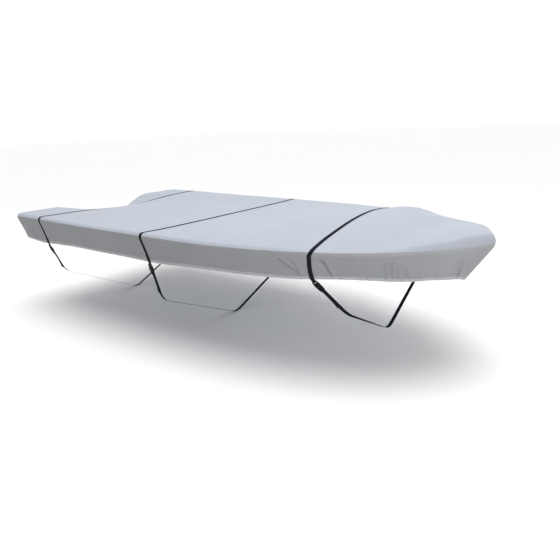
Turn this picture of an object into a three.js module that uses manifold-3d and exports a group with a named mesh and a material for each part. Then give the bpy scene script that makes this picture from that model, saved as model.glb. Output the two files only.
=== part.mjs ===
// A fitted cover for a small open boat, held down by three webbing straps that pass round the hull.
// +X points to the bow, +Y to port, +Z up. The origin lies on the centre plane, midway along the
// cover and level with the gunwales, which carry it. All sizes are in millimetres.

import * as THREE from 'three';
import Module from 'manifold-3d';
import { mergeVertices } from 'three/addons/utils/BufferGeometryUtils.js';

// Cloth
const clothThickness = 1.8;
const hemThickness = 4;
const hemDepth = 24;
const seamGap = 0.3;

// Plan of the rim
const transomX = -1912;
const maxHalfBeam = 895;
const cornerRadius = 80;
const noseTipX = 1955;
const noseHalfWidth = 160;
const noseSlope = 0.6;
const noseRounding = 50;

// One row for each section of a side, from the stern corner to the nose. The rim is rolled over the
// gunwale at rollRadius about a line at rollHeight. The crown is the rise of the middle over the
// rim and fullness its roundness. Seam is the seam's angle on the roll above the level, flare the
// lean of the skirt, both in degrees, and hem the height of the hem.
const sectionColumns = ['x', 'halfBeam', 'rollRadius', 'rollHeight', 'crown', 'fullness', 'seam', 'flare', 'hem'];
const sections = [
  [-1960, 895, 30, -24, -2, 2.0, 26, 19, -203],
  [-1770, 895, 30, -23, -3, 2.0, 27, 16.5, -214],
  [-1545, 896, 30, -23, -4, 2.0, 29.5, 16, -228],
  [-1360, 897, 30, -25, -3, 2.0, 32, 16, -218],
  [-1060, 897, 30, -28, -2, 2.0, 34.5, 16, -206],
  [-700, 895, 30, -30, -1, 2.0, 36.5, 16, -205],
  [-370, 888, 30, -30, -3, 2.0, 35.5, 16, -205],
  [-158, 882, 30, -30, -6, 2.0, 34.5, 16, -209],
  [80, 874, 30, -30, 6, 2.0, 31.5, 16, -206],
  [310, 864, 30, -30, 20, 2.0, 30, 16.5, -196],
  [530, 845, 30, -29, 42, 2.0, 30, 17.5, -192],
  [730, 817, 30, -28, 66, 1.9, 30, 19, -193],
  [920, 777, 30, -27, 91, 1.9, 31, 21, -195],
  [1090, 731, 30, -28, 115, 1.8, 36, 23, -192],
  [1240, 683, 30, -29, 133, 1.8, 42, 24.5, -183],
  [1370, 630, 30, -30, 146, 1.8, 48, 26, -180],
  [1480, 573, 31, -29, 114, 1.9, 48, 27.5, -184],
  [1590, 498, 35, -26, 60, 2.0, 39.5, 29, -197],
  [1690, 410, 43, -22, 38, 2.1, 26, 30.5, -206],
  [1770, 328, 51, -19, 33, 2.2, 17.5, 31.5, -208],
  [1840, 245, 58, -16, 22, 2.2, 13, 32.5, -217],
  [1886, 160, 64, -12, 8, 2.2, 6, 33, -228],
];
const stem = { rollRadius: 60, rollHeight: -14, seam: 9, flare: 36, hem: -282 };

// The hollow over the cut-down middle of the transom: its depth, and the half widths of its floor
// and of its mouth.
const dipColumns = ['x', 'depth', 'floor', 'mouth'];
const dips = [
  [-2000, 132, 160, 510],
  [-1880, 118, 140, 520],
  [-1700, 74, 60, 550],
  [-1545, 36, 0, 620],
  [-1400, 10, 0, 700],
  [-1250, 0, 0, 700],
];

// Soft creases in the side skirts, each a line from one point to another by its place along the
// cover and its distance below the rim. A positive depth is pushed in, a negative one stands out.
const creaseColumns = ['x1', 'drop1', 'x2', 'drop2', 'width', 'depth'];
const creases = [
  [960, 60, 1110, 175, 30, 5],
  [1040, 90, 1120, 190, 24, -4],
  [1205, 90, 1270, 190, 26, 5],
  [1255, 50, 1330, 175, 28, -4],
  [1500, 110, 1525, 205, 26, 5],
  [1590, 90, 1620, 205, 26, -4],
  [1660, 80, 1668, 215, 26, 5],
  [1800, 90, 1800, 230, 24, 5],
  [1850, 100, 1850, 240, 22, -4],
];
const creaseFade = 45;

// Straps, from the stern forward. Each crosses the starboard rim at nearX and the port rim at
// farX, swings by slant on its way down to the hem, and passes round the hull by two chines and
// the keel.
const strapWidth = 25;
const strapThickness = 1.6;
const strapClearance = 1.2;
const strapColumns = ['name', 'nearX', 'farX', 'slant', 'chineX', 'chineY', 'chineZ', 'keelX', 'keelZ'];
const straps = [
  ['stern', -1465, -1540, 0, -1462, 733, -490, -1500, -830],
  ['middle', -105, -152, 0, -105, 755, -510, -128, -830],
  ['bow', 1195, 1170, -20, 1287, 482, -426, 1296, -671],
];

// Where the sections are cut, as spans with a count of steps.
const spanColumns = ['from', 'to', 'steps'];
const spans = [
  [-1832, -1396, 8],
  [-1396, -196, 10],
  [-196, 884, 10],
  [884, 1886, 32],
];
const cornerSteps = 2;
const halfCross = [0.17, 0.34, 0.5, 0.64, 0.78, 0.935, 0.975, 1];
const crossFractions = [...halfCross.toReversed().map((fraction) => -fraction), 0, ...halfCross];
const spreadFrom = 1400;
const upperRollSteps = 2;
const lowerRollSteps = 3;
const skirtFractions = [0.2, 0.4, 0.6, 0.8];

const degree = Math.PI / 180;

// Turns rows of numbers into objects with a named value for each column.
function named(columns, rows) {
  return rows.map((row) => Object.fromEntries(columns.map((column, index) => [column, row[index]])));
}

const sectionTable = named(sectionColumns, sections);
const dipTable = named(dipColumns, dips);
const creaseTable = named(creaseColumns, creases);
const spanTable = named(spanColumns, spans);
const strapTable = named(strapColumns, straps);

// Reads a smooth value from a table sorted by x.
function along(table, x, column) {
  const last = table.length - 1;
  const place = THREE.MathUtils.clamp(x, table[0].x, table[last].x);
  let index = 0;
  while (index < last - 1 && table[index + 1].x < place) {
    index += 1;
  }
  const slopeAt = (k) => {
    const before = table[Math.max(k - 1, 0)];
    const after = table[Math.min(k + 1, last)];
    return (after[column] - before[column]) / (after.x - before.x);
  };
  const start = table[index];
  const end = table[index + 1];
  const span = end.x - start.x;
  const t = (place - start.x) / span;
  const rise = end[column] - start[column];
  const curve = (slopeAt(index) * (1 - t) + slopeAt(index + 1) * -t) * span + rise * (2 * t - 1);
  return start[column] + rise * t + t * (1 - t) * curve;
}

// Depth of the hollow at the stern.
function dipAt(x, y) {
  const floor = along(dipTable, x, 'floor');
  const mouth = along(dipTable, x, 'mouth');
  const share = 1 - THREE.MathUtils.smoothstep(Math.abs(y), floor, mouth);
  return Math.max(along(dipTable, x, 'depth'), 0) * share;
}

// A place on the rim, with its outward direction in plan and the sizes of its section.
function rimPlace(x, y, outward, section) {
  const slope = (section.crown * section.fullness) / (Math.max(section.halfBeam - section.rollRadius, 1));
  const start = 90 * degree - Math.atan(Math.max(slope, 0));
  const end = -section.flare * degree;
  const middle = section.seam * degree;
  outward.normalize();
  return { ...section, x, y, outward, lean: outward, start, middle, end };
}

function sectionAt(x) {
  const values = sectionColumns.map((column) => [column, along(sectionTable, x, column)]);
  return Object.fromEntries(values);
}

// A place on the side: side is -1 to starboard and 1 to port.
function sidePlace(x, side) {
  const section = sectionAt(x);
  const step = 1;
  const ahead = Math.min(x + step, sectionTable.at(-1).x);
  const behind = ahead - 2 * step;
  const slope = (along(sectionTable, ahead, 'halfBeam') - along(sectionTable, behind, 'halfBeam')) / (2 * step);
  return { ...rimPlace(x, side * section.halfBeam, new THREE.Vector2(-slope, side), section), side, mark: x };
}

// A place on the rounded stern corner, turned by angle from the side towards the transom.
function cornerPlace(angle, side) {
  const x = transomX + cornerRadius - Math.sin(angle) * cornerRadius;
  const y = side * (maxHalfBeam - cornerRadius + Math.cos(angle) * cornerRadius);
  return rimPlace(x, y, new THREE.Vector2(-Math.sin(angle), side * Math.cos(angle)), sectionAt(transomX));
}

function transomPlace(y) {
  const section = sectionAt(transomX);
  const dip = dipAt(transomX, y);
  const lowered = { rollHeight: section.rollHeight - dip, hem: section.hem - dip / 2 };
  return rimPlace(transomX, y, new THREE.Vector2(-1, 0), { ...section, ...lowered });
}

// A place on the nose. Its skirt leans straighter aft than the rim faces, down to a sharp stem.
function nosePlace(y) {
  const section = sectionAt(sectionTable.at(-1).x);
  const reach = Math.hypot(y, noseRounding);
  const x = noseTipX - noseSlope * (reach - noseRounding);
  const share = Math.abs(y) / noseHalfWidth;
  const sizes = Object.entries(stem).map(([name, size]) => [name, THREE.MathUtils.lerp(size, section[name], share)]);
  const outward = new THREE.Vector2(1, (noseSlope * y) / reach);
  const place = rimPlace(x, y, outward, { ...section, ...Object.fromEntries(sizes) });
  const lean = new THREE.Vector2(1, (noseSlope * y) / Math.hypot(noseHalfWidth, noseRounding)).normalize();
  return { ...place, lean };
}

// A point on the rolled rim at an angle above the horizontal, pushed out by an offset. It carries
// the direction that the cloth faces there.
function rollPoint(place, angle, offset = 0) {
  const radius = place.rollRadius + offset;
  const out = radius * Math.cos(angle) - place.rollRadius;
  const x = place.x + place.outward.x * out;
  const y = place.y + place.outward.y * out;
  const point = new THREE.Vector3(x, y, place.rollHeight + radius * Math.sin(angle));
  const level = place.outward.clone().multiplyScalar(Math.cos(angle));
  point.facing = new THREE.Vector3(level.x, level.y, Math.sin(angle));
  return point;
}

// How far the creases push the skirt in at a distance below the rim. A strap holds them flat.
function creaseDepth(place, drop) {
  if (place.mark === undefined) {
    return 0;
  }
  const gaps = strapTable.map((strap) => Math.abs(place.mark - strap.nearX));
  const hold = THREE.MathUtils.smoothstep(Math.min(...gaps), strapWidth, strapWidth + creaseFade);
  const spot = new THREE.Vector3(place.mark, drop, 0);
  const total = creaseTable.reduce((sum, crease) => {
    const start = new THREE.Vector3(crease.x1, crease.drop1, 0);
    const end = new THREE.Vector3(crease.x2, crease.drop2, 0);
    const nearest = new THREE.Line3(start, end).closestPointToPoint(spot, true, new THREE.Vector3());
    const away = nearest.distanceTo(spot) / crease.width;
    return sum + crease.depth * Math.exp(-2 * away * away);
  }, 0);
  return total * hold;
}

// Length of the skirt from the end of the roll to the hem.
function skirtLength(place) {
  const top = rollPoint(place, place.end).z;
  return (top - place.hem) / Math.cos(place.end);
}

// A point on the skirt at a length below the roll, pushed out by an offset.
function skirtPoint(place, length, offset = 0) {
  const point = rollPoint(place, place.end, offset - creaseDepth(place, length));
  const inward = length * Math.sin(place.end);
  point.x += place.lean.x * inward;
  point.y += place.lean.y * inward;
  point.z -= length * Math.cos(place.end);
  return point;
}

// A point on the top between the rolls, at a fraction of the way out from the middle.
function topPoint(place, fraction, lift = 0) {
  const edge = rollPoint(place, place.start);
  const y = Math.abs(edge.y) * fraction;
  const rise = place.crown * (1 - Math.abs(fraction) ** place.fullness);
  return new THREE.Vector3(edge.x, y, edge.z + rise - dipAt(edge.x, y) + lift);
}

function fromTo(start, end, steps) {
  return Array.from({ length: steps + 1 }, (_, index) => THREE.MathUtils.lerp(start, end, index / steps));
}

// Stations along a side, from the stern corner to the nose.
function sideStations(side) {
  const corner = fromTo(45 * degree, 0, cornerSteps).map((angle) => cornerPlace(angle, side));
  const marks = spanTable.flatMap((span) => fromTo(span.from, span.to, span.steps).slice(1));
  return [...corner, ...marks.map((x) => sidePlace(x, side))];
}

const starboard = sideStations(-1);
const port = sideStations(1);
const evenFractions = fromTo(-1, 1, crossFractions.length - 1);
const nose = evenFractions.slice(1, -1).map((fraction) => nosePlace(fraction * noseHalfWidth));

// Stations across the transom from starboard to port, between the corners.
function transomStations() {
  const corner = fromTo(45 * degree, 90 * degree, cornerSteps).slice(1);
  const straight = maxHalfBeam - cornerRadius;
  const inner = crossFractions.slice(cornerSteps + 1, -cornerSteps - 1);
  const spread = inner.map((fraction) => transomPlace((fraction * straight) / -crossFractions[cornerSteps]));
  const first = corner.map((angle) => cornerPlace(angle, -1));
  const second = corner.map((angle) => cornerPlace(angle, 1)).reverse();
  return [...first, ...spread, ...second];
}

const transom = transomStations();

// Makes a closed solid of even or varying thickness from a sheet of points and four-sided faces.
// A point's own facing, where it has one, is used in place of the average of its faces, with their
// sign.
function sheetSolid(points, quads, halfThickness) {
  const count = points.length;
  const normals = points.map(() => new THREE.Vector3());
  const edgeUse = new Map();
  for (const quad of quads) {
    const [a, b, c, d] = quad.map((index) => points[index]);
    const across = c.clone().sub(a);
    const normal = across.cross(d.clone().sub(b));
    quad.forEach((index) => normals[index].add(normal));
    quad.forEach((index, corner) => {
      const next = quad[(corner + 1) % 4];
      edgeUse.set(`${index} ${next}`, [index, next]);
    });
  }
  normals.forEach((normal, index) => {
    const { facing } = points[index];
    if (facing) {
      const sign = Math.sign(facing.dot(normal));
      normal.copy(facing).multiplyScalar(sign);
    }
    normal.normalize();
  });
  const shifted = (direction) => points.map((point, index) => {
    const thickness = direction * halfThickness(index);
    return point.clone().addScaledVector(normals[index], thickness);
  });
  const positions = [...shifted(1), ...shifted(-1)].flatMap((point) => point.toArray());
  const triangles = [];
  const addQuad = (a, b, c, d) => triangles.push(a, b, c, a, c, d);
  for (const [a, b, c, d] of quads) {
    addQuad(a, b, c, d);
    addQuad(c + count, b + count, a + count, d + count);
  }
  for (const [a, b] of edgeUse.values()) {
    if (!edgeUse.has(`${b} ${a}`)) {
      addQuad(b, a, a + count, b + count);
    }
  }
  const geometry = new THREE.BufferGeometry();
  geometry.setAttribute('position', new THREE.Float32BufferAttribute(positions, 3));
  geometry.setIndex(triangles);
  geometry.computeVertexNormals();
  return geometry;
}

// Faces of a grid of rows, each holding the same count of points, numbered from first.
function gridQuads(rowCount, columnCount, first = 0) {
  const quads = [];
  for (let row = 0; row < rowCount - 1; row += 1) {
    for (let column = 0; column < columnCount - 1; column += 1) {
      const a = first + row * columnCount + column;
      quads.push([a, a + columnCount, a + columnCount + 1, a + 1]);
    }
  }
  return quads;
}

// The top panel: rows across the cover inside the roll, and a ring of rolled cloth round them. From
// spreadFrom on, the points of a row spread to the even steps of the nose.
function topPanel() {
  const columns = crossFractions.length;
  const edgePoint = (place) => rollPoint(place, place.start);
  const rows = starboard.map((place, index) => {
    if (index === 0) {
      return [place, ...transom, port[0]].map(edgePoint);
    }
    if (index === starboard.length - 1) {
      return [place, ...nose, port[index]].map(edgePoint);
    }
    const share = THREE.MathUtils.smoothstep(place.x, spreadFrom, starboard.at(-1).x);
    return crossFractions.map((fraction, column) => {
      return topPoint(place, THREE.MathUtils.lerp(fraction, evenFractions[column], share));
    });
  });
  const points = rows.flat();
  const quads = gridQuads(rows.length, columns);
  const ring = [...starboard, ...nose, ...port.toReversed(), ...transom.toReversed()];
  const lastRow = (rows.length - 1) * columns;
  const inner = [
    ...starboard.map((_, index) => index * columns),
    ...nose.map((_, index) => lastRow + index + 1),
    ...port.map((_, index) => index * columns + columns - 1).reverse(),
    ...transom.map((_, index) => index + 1).reverse(),
  ];
  let previous = inner;
  for (let step = 1; step <= upperRollSteps; step += 1) {
    const share = step / upperRollSteps;
    const first = points.length;
    for (const place of ring) {
      const seam = place.middle + seamGap / 2 / place.rollRadius;
      points.push(rollPoint(place, THREE.MathUtils.lerp(place.start, seam, share)));
    }
    const current = ring.map((_, index) => first + index);
    ring.forEach((_, index) => {
      const next = (index + 1) % ring.length;
      quads.push([previous[index], current[index], current[next], previous[next]]);
    });
    previous = current;
  }
  return sheetSolid(points, quads, () => clothThickness / 2);
}

// A skirt that hangs from the seam round the roll and ends in a thicker hem.
function skirt(places) {
  const thicknesses = [];
  const rows = places.map((place) => {
    const seam = place.middle - seamGap / 2 / place.rollRadius;
    const roll = fromTo(seam, place.end, lowerRollSteps).map((angle) => rollPoint(place, angle));
    const length = skirtLength(place);
    const hemTop = length - hemDepth;
    const middle = skirtFractions.map((fraction) => skirtPoint(place, hemTop * fraction));
    const hem = [hemTop, hemTop + hemDepth / 4, length].map((down) => skirtPoint(place, down));
    const plain = [...roll, ...middle, hem[0]].map(() => clothThickness / 2);
    thicknesses.push(...plain, hemThickness / 2, hemThickness / 2);
    return [...roll, ...middle, ...hem];
  });
  return sheetSolid(rows.flat(), gridQuads(rows.length, rows[0].length).map((quad) => quad.toReversed()),
    (index) => thicknesses[index]);
}

const group = new THREE.Group();

function addMesh(name, geometry, material) {
  const mesh = new THREE.Mesh(geometry, material);
  mesh.name = name;
  group.add(mesh);
  return mesh;
}

function clothMaterial(color) {
  return new THREE.MeshStandardMaterial({ color, roughness: 0.85, metalness: 0 });
}

// Moves an end place a little along the rim, so that neighbouring skirts keep the seam gap.
function shiftedEnds(places) {
  const shift = (place, neighbour) => {
    const direction = new THREE.Vector2(neighbour.x - place.x, neighbour.y - place.y).normalize();
    const x = place.x + (direction.x * seamGap) / 2;
    const y = place.y + (direction.y * seamGap) / 2;
    return { ...place, x, y };
  };
  const first = shift(places[0], places[1]);
  const last = shift(places.at(-1), places.at(-2));
  return [first, ...places.slice(1, -1), last];
}

const stemIndex = (nose.length - 1) / 2;
const starboardPlaces = shiftedEnds([...starboard, ...nose.slice(0, stemIndex + 1)]);
const portPlaces = shiftedEnds([...nose.slice(stemIndex), ...port.toReversed()]);
const transomPlaces = shiftedEnds([port[0], ...transom.toReversed(), starboard[0]]);
addMesh('top_panel', topPanel(), clothMaterial(0xc3c9d4));
addMesh('skirt_starboard', skirt(starboardPlaces), clothMaterial(0xa9adb3));
addMesh('skirt_port', skirt(portPlaces), clothMaterial(0xa9adb4));
addMesh('skirt_transom', skirt(transomPlaces), clothMaterial(0xa8adb4));

// Buckles. Each is modelled flat: x across the strap, y down it from buckleDrop below the hem, and
// z out from the hull.
const barLength = 4.4;
const plateThickness = 4.4;
const webbingRoom = 0.5;
const turnRadius = Math.hypot(barLength, plateThickness) / 2 + webbingRoom + strapThickness / 2;
const buckleDrop = 8;
const buckleHalfWidth = 19;
const slotHalfWidth = 13.6;
const plateCorner = 3;
const slotCorner = 1;
const prongFillet = 2;
const tonguePlate = { top: 9, slotTop: 13.4, slotEnd: 20, end: 26 };
const prong = { inner: 9.5, outer: 14.4, catch: 17.6, catchTop: 44, catchEnd: 49, end: 53 };
const guide = { halfWidth: 3.5, end: 48 };
const sleeve = { top: 27, end: 57, halfHeight: 6, corner: 4, cavityHalfWidth: 15.2, cavityHalfHeight: 2.8 };
const sleeveCap = 4;
const windowTop = 42;
const windowEnd = 53;
const join = 1;
const ladder = { top: 60, slotEnd: 67, barEnd: 71.4, secondSlotEnd: 77, end: 82 };
const curveSegments = 2;
const sewnLength = 58;
const tailLength = 165;
const tailLift = 9;
const tailBend = 0.6;
const tailSettle = 22;
const adjusterExit = 12;
const adjusterLead = 30;
const turnSteps = 6;
const hullRounding = 60;
const hullRoundSteps = 4;
const layerPitch = strapThickness + webbingRoom;
const hemLayerLift = (hemThickness - clothThickness) / 2;

const wasm = await Module();
wasm.setup();

function toSolid(geometry) {
  const bare = geometry.clone();
  bare.deleteAttribute('normal');
  bare.deleteAttribute('uv');
  const merged = mergeVertices(bare);
  return new wasm.Manifold(new wasm.Mesh({
    numProp: 3,
    vertProperties: merged.attributes.position.array,
    triVerts: new Uint32Array(merged.index.array),
  }));
}

function toGeometry(solid) {
  const mesh = solid.getMesh();
  const geometry = new THREE.BufferGeometry();
  geometry.setAttribute('position', new THREE.Float32BufferAttribute(mesh.vertProperties, 3));
  geometry.setIndex(Array.from(mesh.triVerts));
  geometry.computeVertexNormals();
  return geometry;
}

function traceRounded(path, halfWidth, low, high, radius) {
  path.moveTo(-halfWidth + radius, low);
  path.lineTo(halfWidth - radius, low);
  path.absarc(halfWidth - radius, low + radius, radius, -Math.PI / 2, 0);
  path.lineTo(halfWidth, high - radius);
  path.absarc(halfWidth - radius, high - radius, radius, 0, Math.PI / 2);
  path.lineTo(-halfWidth + radius, high);
  path.absarc(-halfWidth + radius, high - radius, radius, Math.PI / 2, Math.PI);
  path.lineTo(-halfWidth, low + radius);
  path.absarc(-halfWidth + radius, low + radius, radius, Math.PI, 1.5 * Math.PI);
  return path;
}

function roundedShape(halfWidth, low, high, radius) {
  return traceRounded(new THREE.Shape(), halfWidth, low, high, radius);
}

function roundedHole(halfWidth, low, high, radius) {
  return traceRounded(new THREE.Path(), halfWidth, low, high, radius);
}

function plateSolid(shape) {
  const geometry = new THREE.ExtrudeGeometry(shape, { depth: plateThickness, bevelEnabled: false, curveSegments });
  return toSolid(geometry.translate(0, 0, -plateThickness / 2));
}

// Extrudes an outline seen along the strap from one distance below the hem to another.
function alongStrap(shape, from, to) {
  const geometry = new THREE.ExtrudeGeometry(shape, { depth: to - from, bevelEnabled: false, curveSegments });
  return toSolid(geometry.rotateX(-Math.PI / 2).translate(0, from, 0));
}

// The tongue half: a barred plate with a centre guide and two sprung prongs with catches.
function buckleTongue() {
  const root = tonguePlate.end;
  const crotch = root + prongFillet;
  const right = [
    [prong.outer, root], [prong.outer, prong.catchTop], [prong.catch, prong.catchTop],
    [prong.catch, prong.catchEnd], [prong.inner + prongFillet, prong.end],
    [prong.inner, prong.end - prongFillet], [prong.inner, crotch],
    [guide.halfWidth, crotch], [guide.halfWidth, guide.end],
  ];
  const left = right.map(([x, y]) => [-x, y]).reverse();
  const shape = new THREE.Shape();
  shape.moveTo(-buckleHalfWidth + plateCorner, tonguePlate.top);
  shape.lineTo(buckleHalfWidth - plateCorner, tonguePlate.top);
  shape.lineTo(buckleHalfWidth, tonguePlate.top + plateCorner);
  shape.lineTo(buckleHalfWidth, root);
  [...right, ...left].forEach(([x, y]) => shape.lineTo(x, y));
  shape.lineTo(-buckleHalfWidth, root);
  shape.lineTo(-buckleHalfWidth, tonguePlate.top + plateCorner);
  shape.holes.push(roundedHole(slotHalfWidth, tonguePlate.slotTop, tonguePlate.slotEnd, slotCorner));
  return toGeometry(plateSolid(shape));
}

// The socket half: a sleeve with a window on each side, and a two-barred adjuster below it.
function buckleSocket() {
  const { halfHeight, corner, cavityHalfWidth, cavityHalfHeight } = sleeve;
  const outline = roundedShape(buckleHalfWidth, -halfHeight, halfHeight, corner);
  const cap = roundedShape(buckleHalfWidth, -halfHeight, halfHeight, corner);
  outline.holes.push(roundedHole(cavityHalfWidth, -cavityHalfHeight, cavityHalfHeight, slotCorner));
  const plate = roundedShape(buckleHalfWidth, ladder.top - join, ladder.end, plateCorner);
  plate.holes.push(roundedHole(slotHalfWidth, ladder.top + join, ladder.slotEnd, slotCorner));
  plate.holes.push(roundedHole(slotHalfWidth, ladder.barEnd, ladder.secondSlotEnd, slotCorner));
  const window = new THREE.BoxGeometry(2 * (buckleHalfWidth + join), windowEnd - windowTop, 2 * cavityHalfHeight);
  const opening = toSolid(window.translate(0, (windowEnd + windowTop) / 2, 0));
  const body = alongStrap(outline, sleeve.top, sleeve.end).add(alongStrap(cap, sleeve.end, sleeve.end + sleeveCap));
  return toGeometry(body.subtract(opening).add(plateSolid(plate)));
}

// The strap's place on one side: down is -1 at the starboard rim, and share its way to the hem.
function strapPlace(strap, side, share, shift) {
  const rimX = side < 0 ? strap.nearX : strap.farX;
  return sidePlace(rimX + shift + strap.slant * share, side);
}

const restLift = clothThickness / 2 + strapClearance + strapThickness / 2;

// Pairs of edge points where the strap lies on a skirt, from the roll to the hem.
function skirtPairs(strap, side, extra = 0, fromEnd = Infinity) {
  const reach = skirtLength(strapPlace(strap, side, 1, 0));
  const hemTop = reach - hemDepth;
  const lengths = [0, ...skirtFractions.map((fraction) => fraction * hemTop), hemTop, reach];
  return lengths.filter((length) => length > reach - fromEnd).map((length) => {
    const lift = restLift + extra + (length > hemTop ? hemLayerLift : 0);
    return [-strapWidth / 2, strapWidth / 2].map((shift) => {
      const place = strapPlace(strap, side, length / reach, shift);
      return skirtPoint(place, length, lift);
    });
  });
}

function rollPairs(strap, side) {
  return [-strapWidth / 2, strapWidth / 2].map((shift) => {
    const place = strapPlace(strap, side, 0, shift);
    const upper = fromTo(place.start, place.middle, upperRollSteps);
    const lower = fromTo(place.middle, place.end, lowerRollSteps).slice(1, -1);
    return [...upper, ...lower].map((angle) => rollPoint(place, angle, restLift));
  });
}

function zipped([first, second]) {
  return first.map((point, index) => [point, second[index]]);
}

// Pairs across the top from the starboard roll to the port roll.
function topPairs(strap) {
  return crossFractions.slice(1, -1).map((fraction) => [-strapWidth / 2, strapWidth / 2].map((shift) => {
    const x = THREE.MathUtils.lerp(strap.nearX, strap.farX, (fraction + 1) / 2);
    return topPoint(sidePlace(x + shift, 1), fraction, restLift);
  }));
}

function midpoint([first, second]) {
  return first.clone().lerp(second, 0.5);
}

// The frame of a strap's starboard run below the hem: its origin, and the directions
// across the strap, down it and out from the hull.
function runFrame(strap) {
  const hemPair = skirtPairs(strap, -1).at(-1);
  const chine = new THREE.Vector3(strap.chineX, -strap.chineY, strap.chineZ);
  const down = chine.clone().sub(midpoint(hemPair)).normalize();
  const origin = midpoint(hemPair).addScaledVector(down, buckleDrop);
  const across = hemPair[0].clone().sub(hemPair[1]);
  across.addScaledVector(down, -across.dot(down)).normalize();
  const out = across.clone().cross(down);
  return { origin, across, down, out, chine };
}

// A pair of edge points at a distance down the run and a distance out from the webbing's plane.
function runPair(frame, distance, away) {
  const centre = frame.origin.clone().addScaledVector(frame.down, distance).addScaledVector(frame.out, away);
  return [1, -1].map((hand) => centre.clone().addScaledVector(frame.across, (hand * strapWidth) / 2));
}

// A half turn of webbing round a bar.
function turnPairs(frame, centre, from, to) {
  return fromTo(from, to, turnSteps).map((angle) => {
    const distance = centre + turnRadius * Math.sin(angle);
    return runPair(frame, distance, turnRadius - turnRadius * Math.cos(angle));
  });
}

// Rounds the corners of the run under the hull and gives its edges, turned bit by bit to the
// direction of the starboard run.
function hullPairs(strap, frame) {
  const portHem = midpoint(skirtPairs(strap, 1).at(-1));
  const swing = strap.farX - strap.nearX;
  const farChine = new THREE.Vector3(strap.chineX + swing, strap.chineY, strap.chineZ);
  const keel = new THREE.Vector3(strap.keelX, 0, strap.keelZ);
  const adjuster = frame.origin.clone().addScaledVector(frame.down, ladder.end + adjusterLead);
  const nearAcross = frame.across.clone().negate();
  const corners = [portHem, farChine, keel, frame.chine, adjuster];
  const path = [];
  for (let index = 1; index < corners.length - 1; index += 1) {
    const corner = corners[index];
    const round = Math.min(hullRounding, corner.distanceTo(corners[index - 1]) / 2);
    const before = corners[index - 1].clone().sub(corner).setLength(round).add(corner);
    const after = corners[index + 1].clone().sub(corner).setLength(round).add(corner);
    const straight = (path.at(-1) ?? portHem).clone().lerp(before, 0.5);
    path.push(straight, ...new THREE.QuadraticBezierCurve3(before, corner, after).getPoints(hullRoundSteps));
  }
  path.push(path.at(-1).clone().lerp(adjuster, 0.5));
  return path.map((point, index) => {
    const ahead = (path[index + 1] ?? adjuster).clone().sub(path[index - 1] ?? portHem).normalize();
    const share = THREE.MathUtils.clamp(-point.y / strap.chineY, 0, 1);
    const across = new THREE.Vector3(1, 0, 0).lerp(nearAcross, share);
    across.addScaledVector(ahead, -ahead.dot(across)).setLength(strapWidth / 2);
    return [point.clone().sub(across), point.clone().add(across)];
  });
}

// One length of webbing: sewn round the tongue's bar, up and over the cover, down to port, under
// the keel, up to the adjuster, and back down as a free tail.
function strapGeometry(strap) {
  const frame = runFrame(strap);
  const tongueBar = tonguePlate.top + barLength / 2;
  const adjusterBar = ladder.slotEnd + barLength / 2;
  const tailStart = adjusterBar + adjusterExit;
  const tailRest = layerPitch + 1;
  const tail = [
    [tailStart, 2 * turnRadius],
    [tailStart + tailSettle, tailRest],
    [adjusterBar + tailLength * tailBend, tailRest],
    [adjusterBar + tailLength, tailLift],
  ];
  const pairs = [
    ...skirtPairs(strap, -1, layerPitch, sewnLength),
    runPair(frame, 0, layerPitch),
    runPair(frame, tonguePlate.top - strapThickness, 2 * turnRadius),
    ...turnPairs(frame, tongueBar, Math.PI, 0),
    runPair(frame, 0, 0),
    ...skirtPairs(strap, -1).reverse(),
    ...zipped(rollPairs(strap, -1)).reverse(),
    ...topPairs(strap),
    ...zipped(rollPairs(strap, 1)),
    ...skirtPairs(strap, 1),
    ...hullPairs(strap, frame),
    runPair(frame, ladder.end + adjusterLead, 0),
    ...turnPairs(frame, adjusterBar, 0, -Math.PI),
    ...tail.map(([distance, away]) => runPair(frame, distance, away)),
  ];
  return sheetSolid(pairs.flat(), gridQuads(pairs.length, 2), () => strapThickness / 2);
}

const webbingMaterial = new THREE.MeshStandardMaterial({ color: 0x15171b, roughness: 0.8, metalness: 0 });

function addBucklePart(name, geometry, frame) {
  const material = new THREE.MeshStandardMaterial({ color: 0x0e0f10, roughness: 0.45, metalness: 0 });
  const mesh = addMesh(name, geometry, material);
  mesh.position.copy(frame.origin).addScaledVector(frame.out, turnRadius);
  mesh.quaternion.setFromRotationMatrix(new THREE.Matrix4().makeBasis(frame.across, frame.down, frame.out));
}

for (const strap of strapTable) {
  const frame = runFrame(strap);
  addMesh(`strap_${strap.name}`, strapGeometry(strap), webbingMaterial.clone());
  addBucklePart(`buckle_tongue_${strap.name}`, buckleTongue(), frame);
  addBucklePart(`buckle_socket_${strap.name}`, buckleSocket(), frame);
}

export default group;
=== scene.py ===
# %% [markdown]
# # A fitted cover for a small open boat
#
# The cover is one shaped top, rolled over the gunwales, with skirts sewn round it. Three webbing
# straps hold it down. Each passes over the cover and under the hull, and closes with a buckle on the
# starboard side. The boat itself is left out, so the cover is hollow.
#
# The imported model gives the frame: +X to the bow, +Y to port, +Z up, in metres. Everything here is
# built in that frame. A copy of its box is kept, to print at the end beside the cover's.

# %% Load the frame
import math
import bmesh
import bpy
import numpy as np
from mathutils import Matrix, Vector


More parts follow.
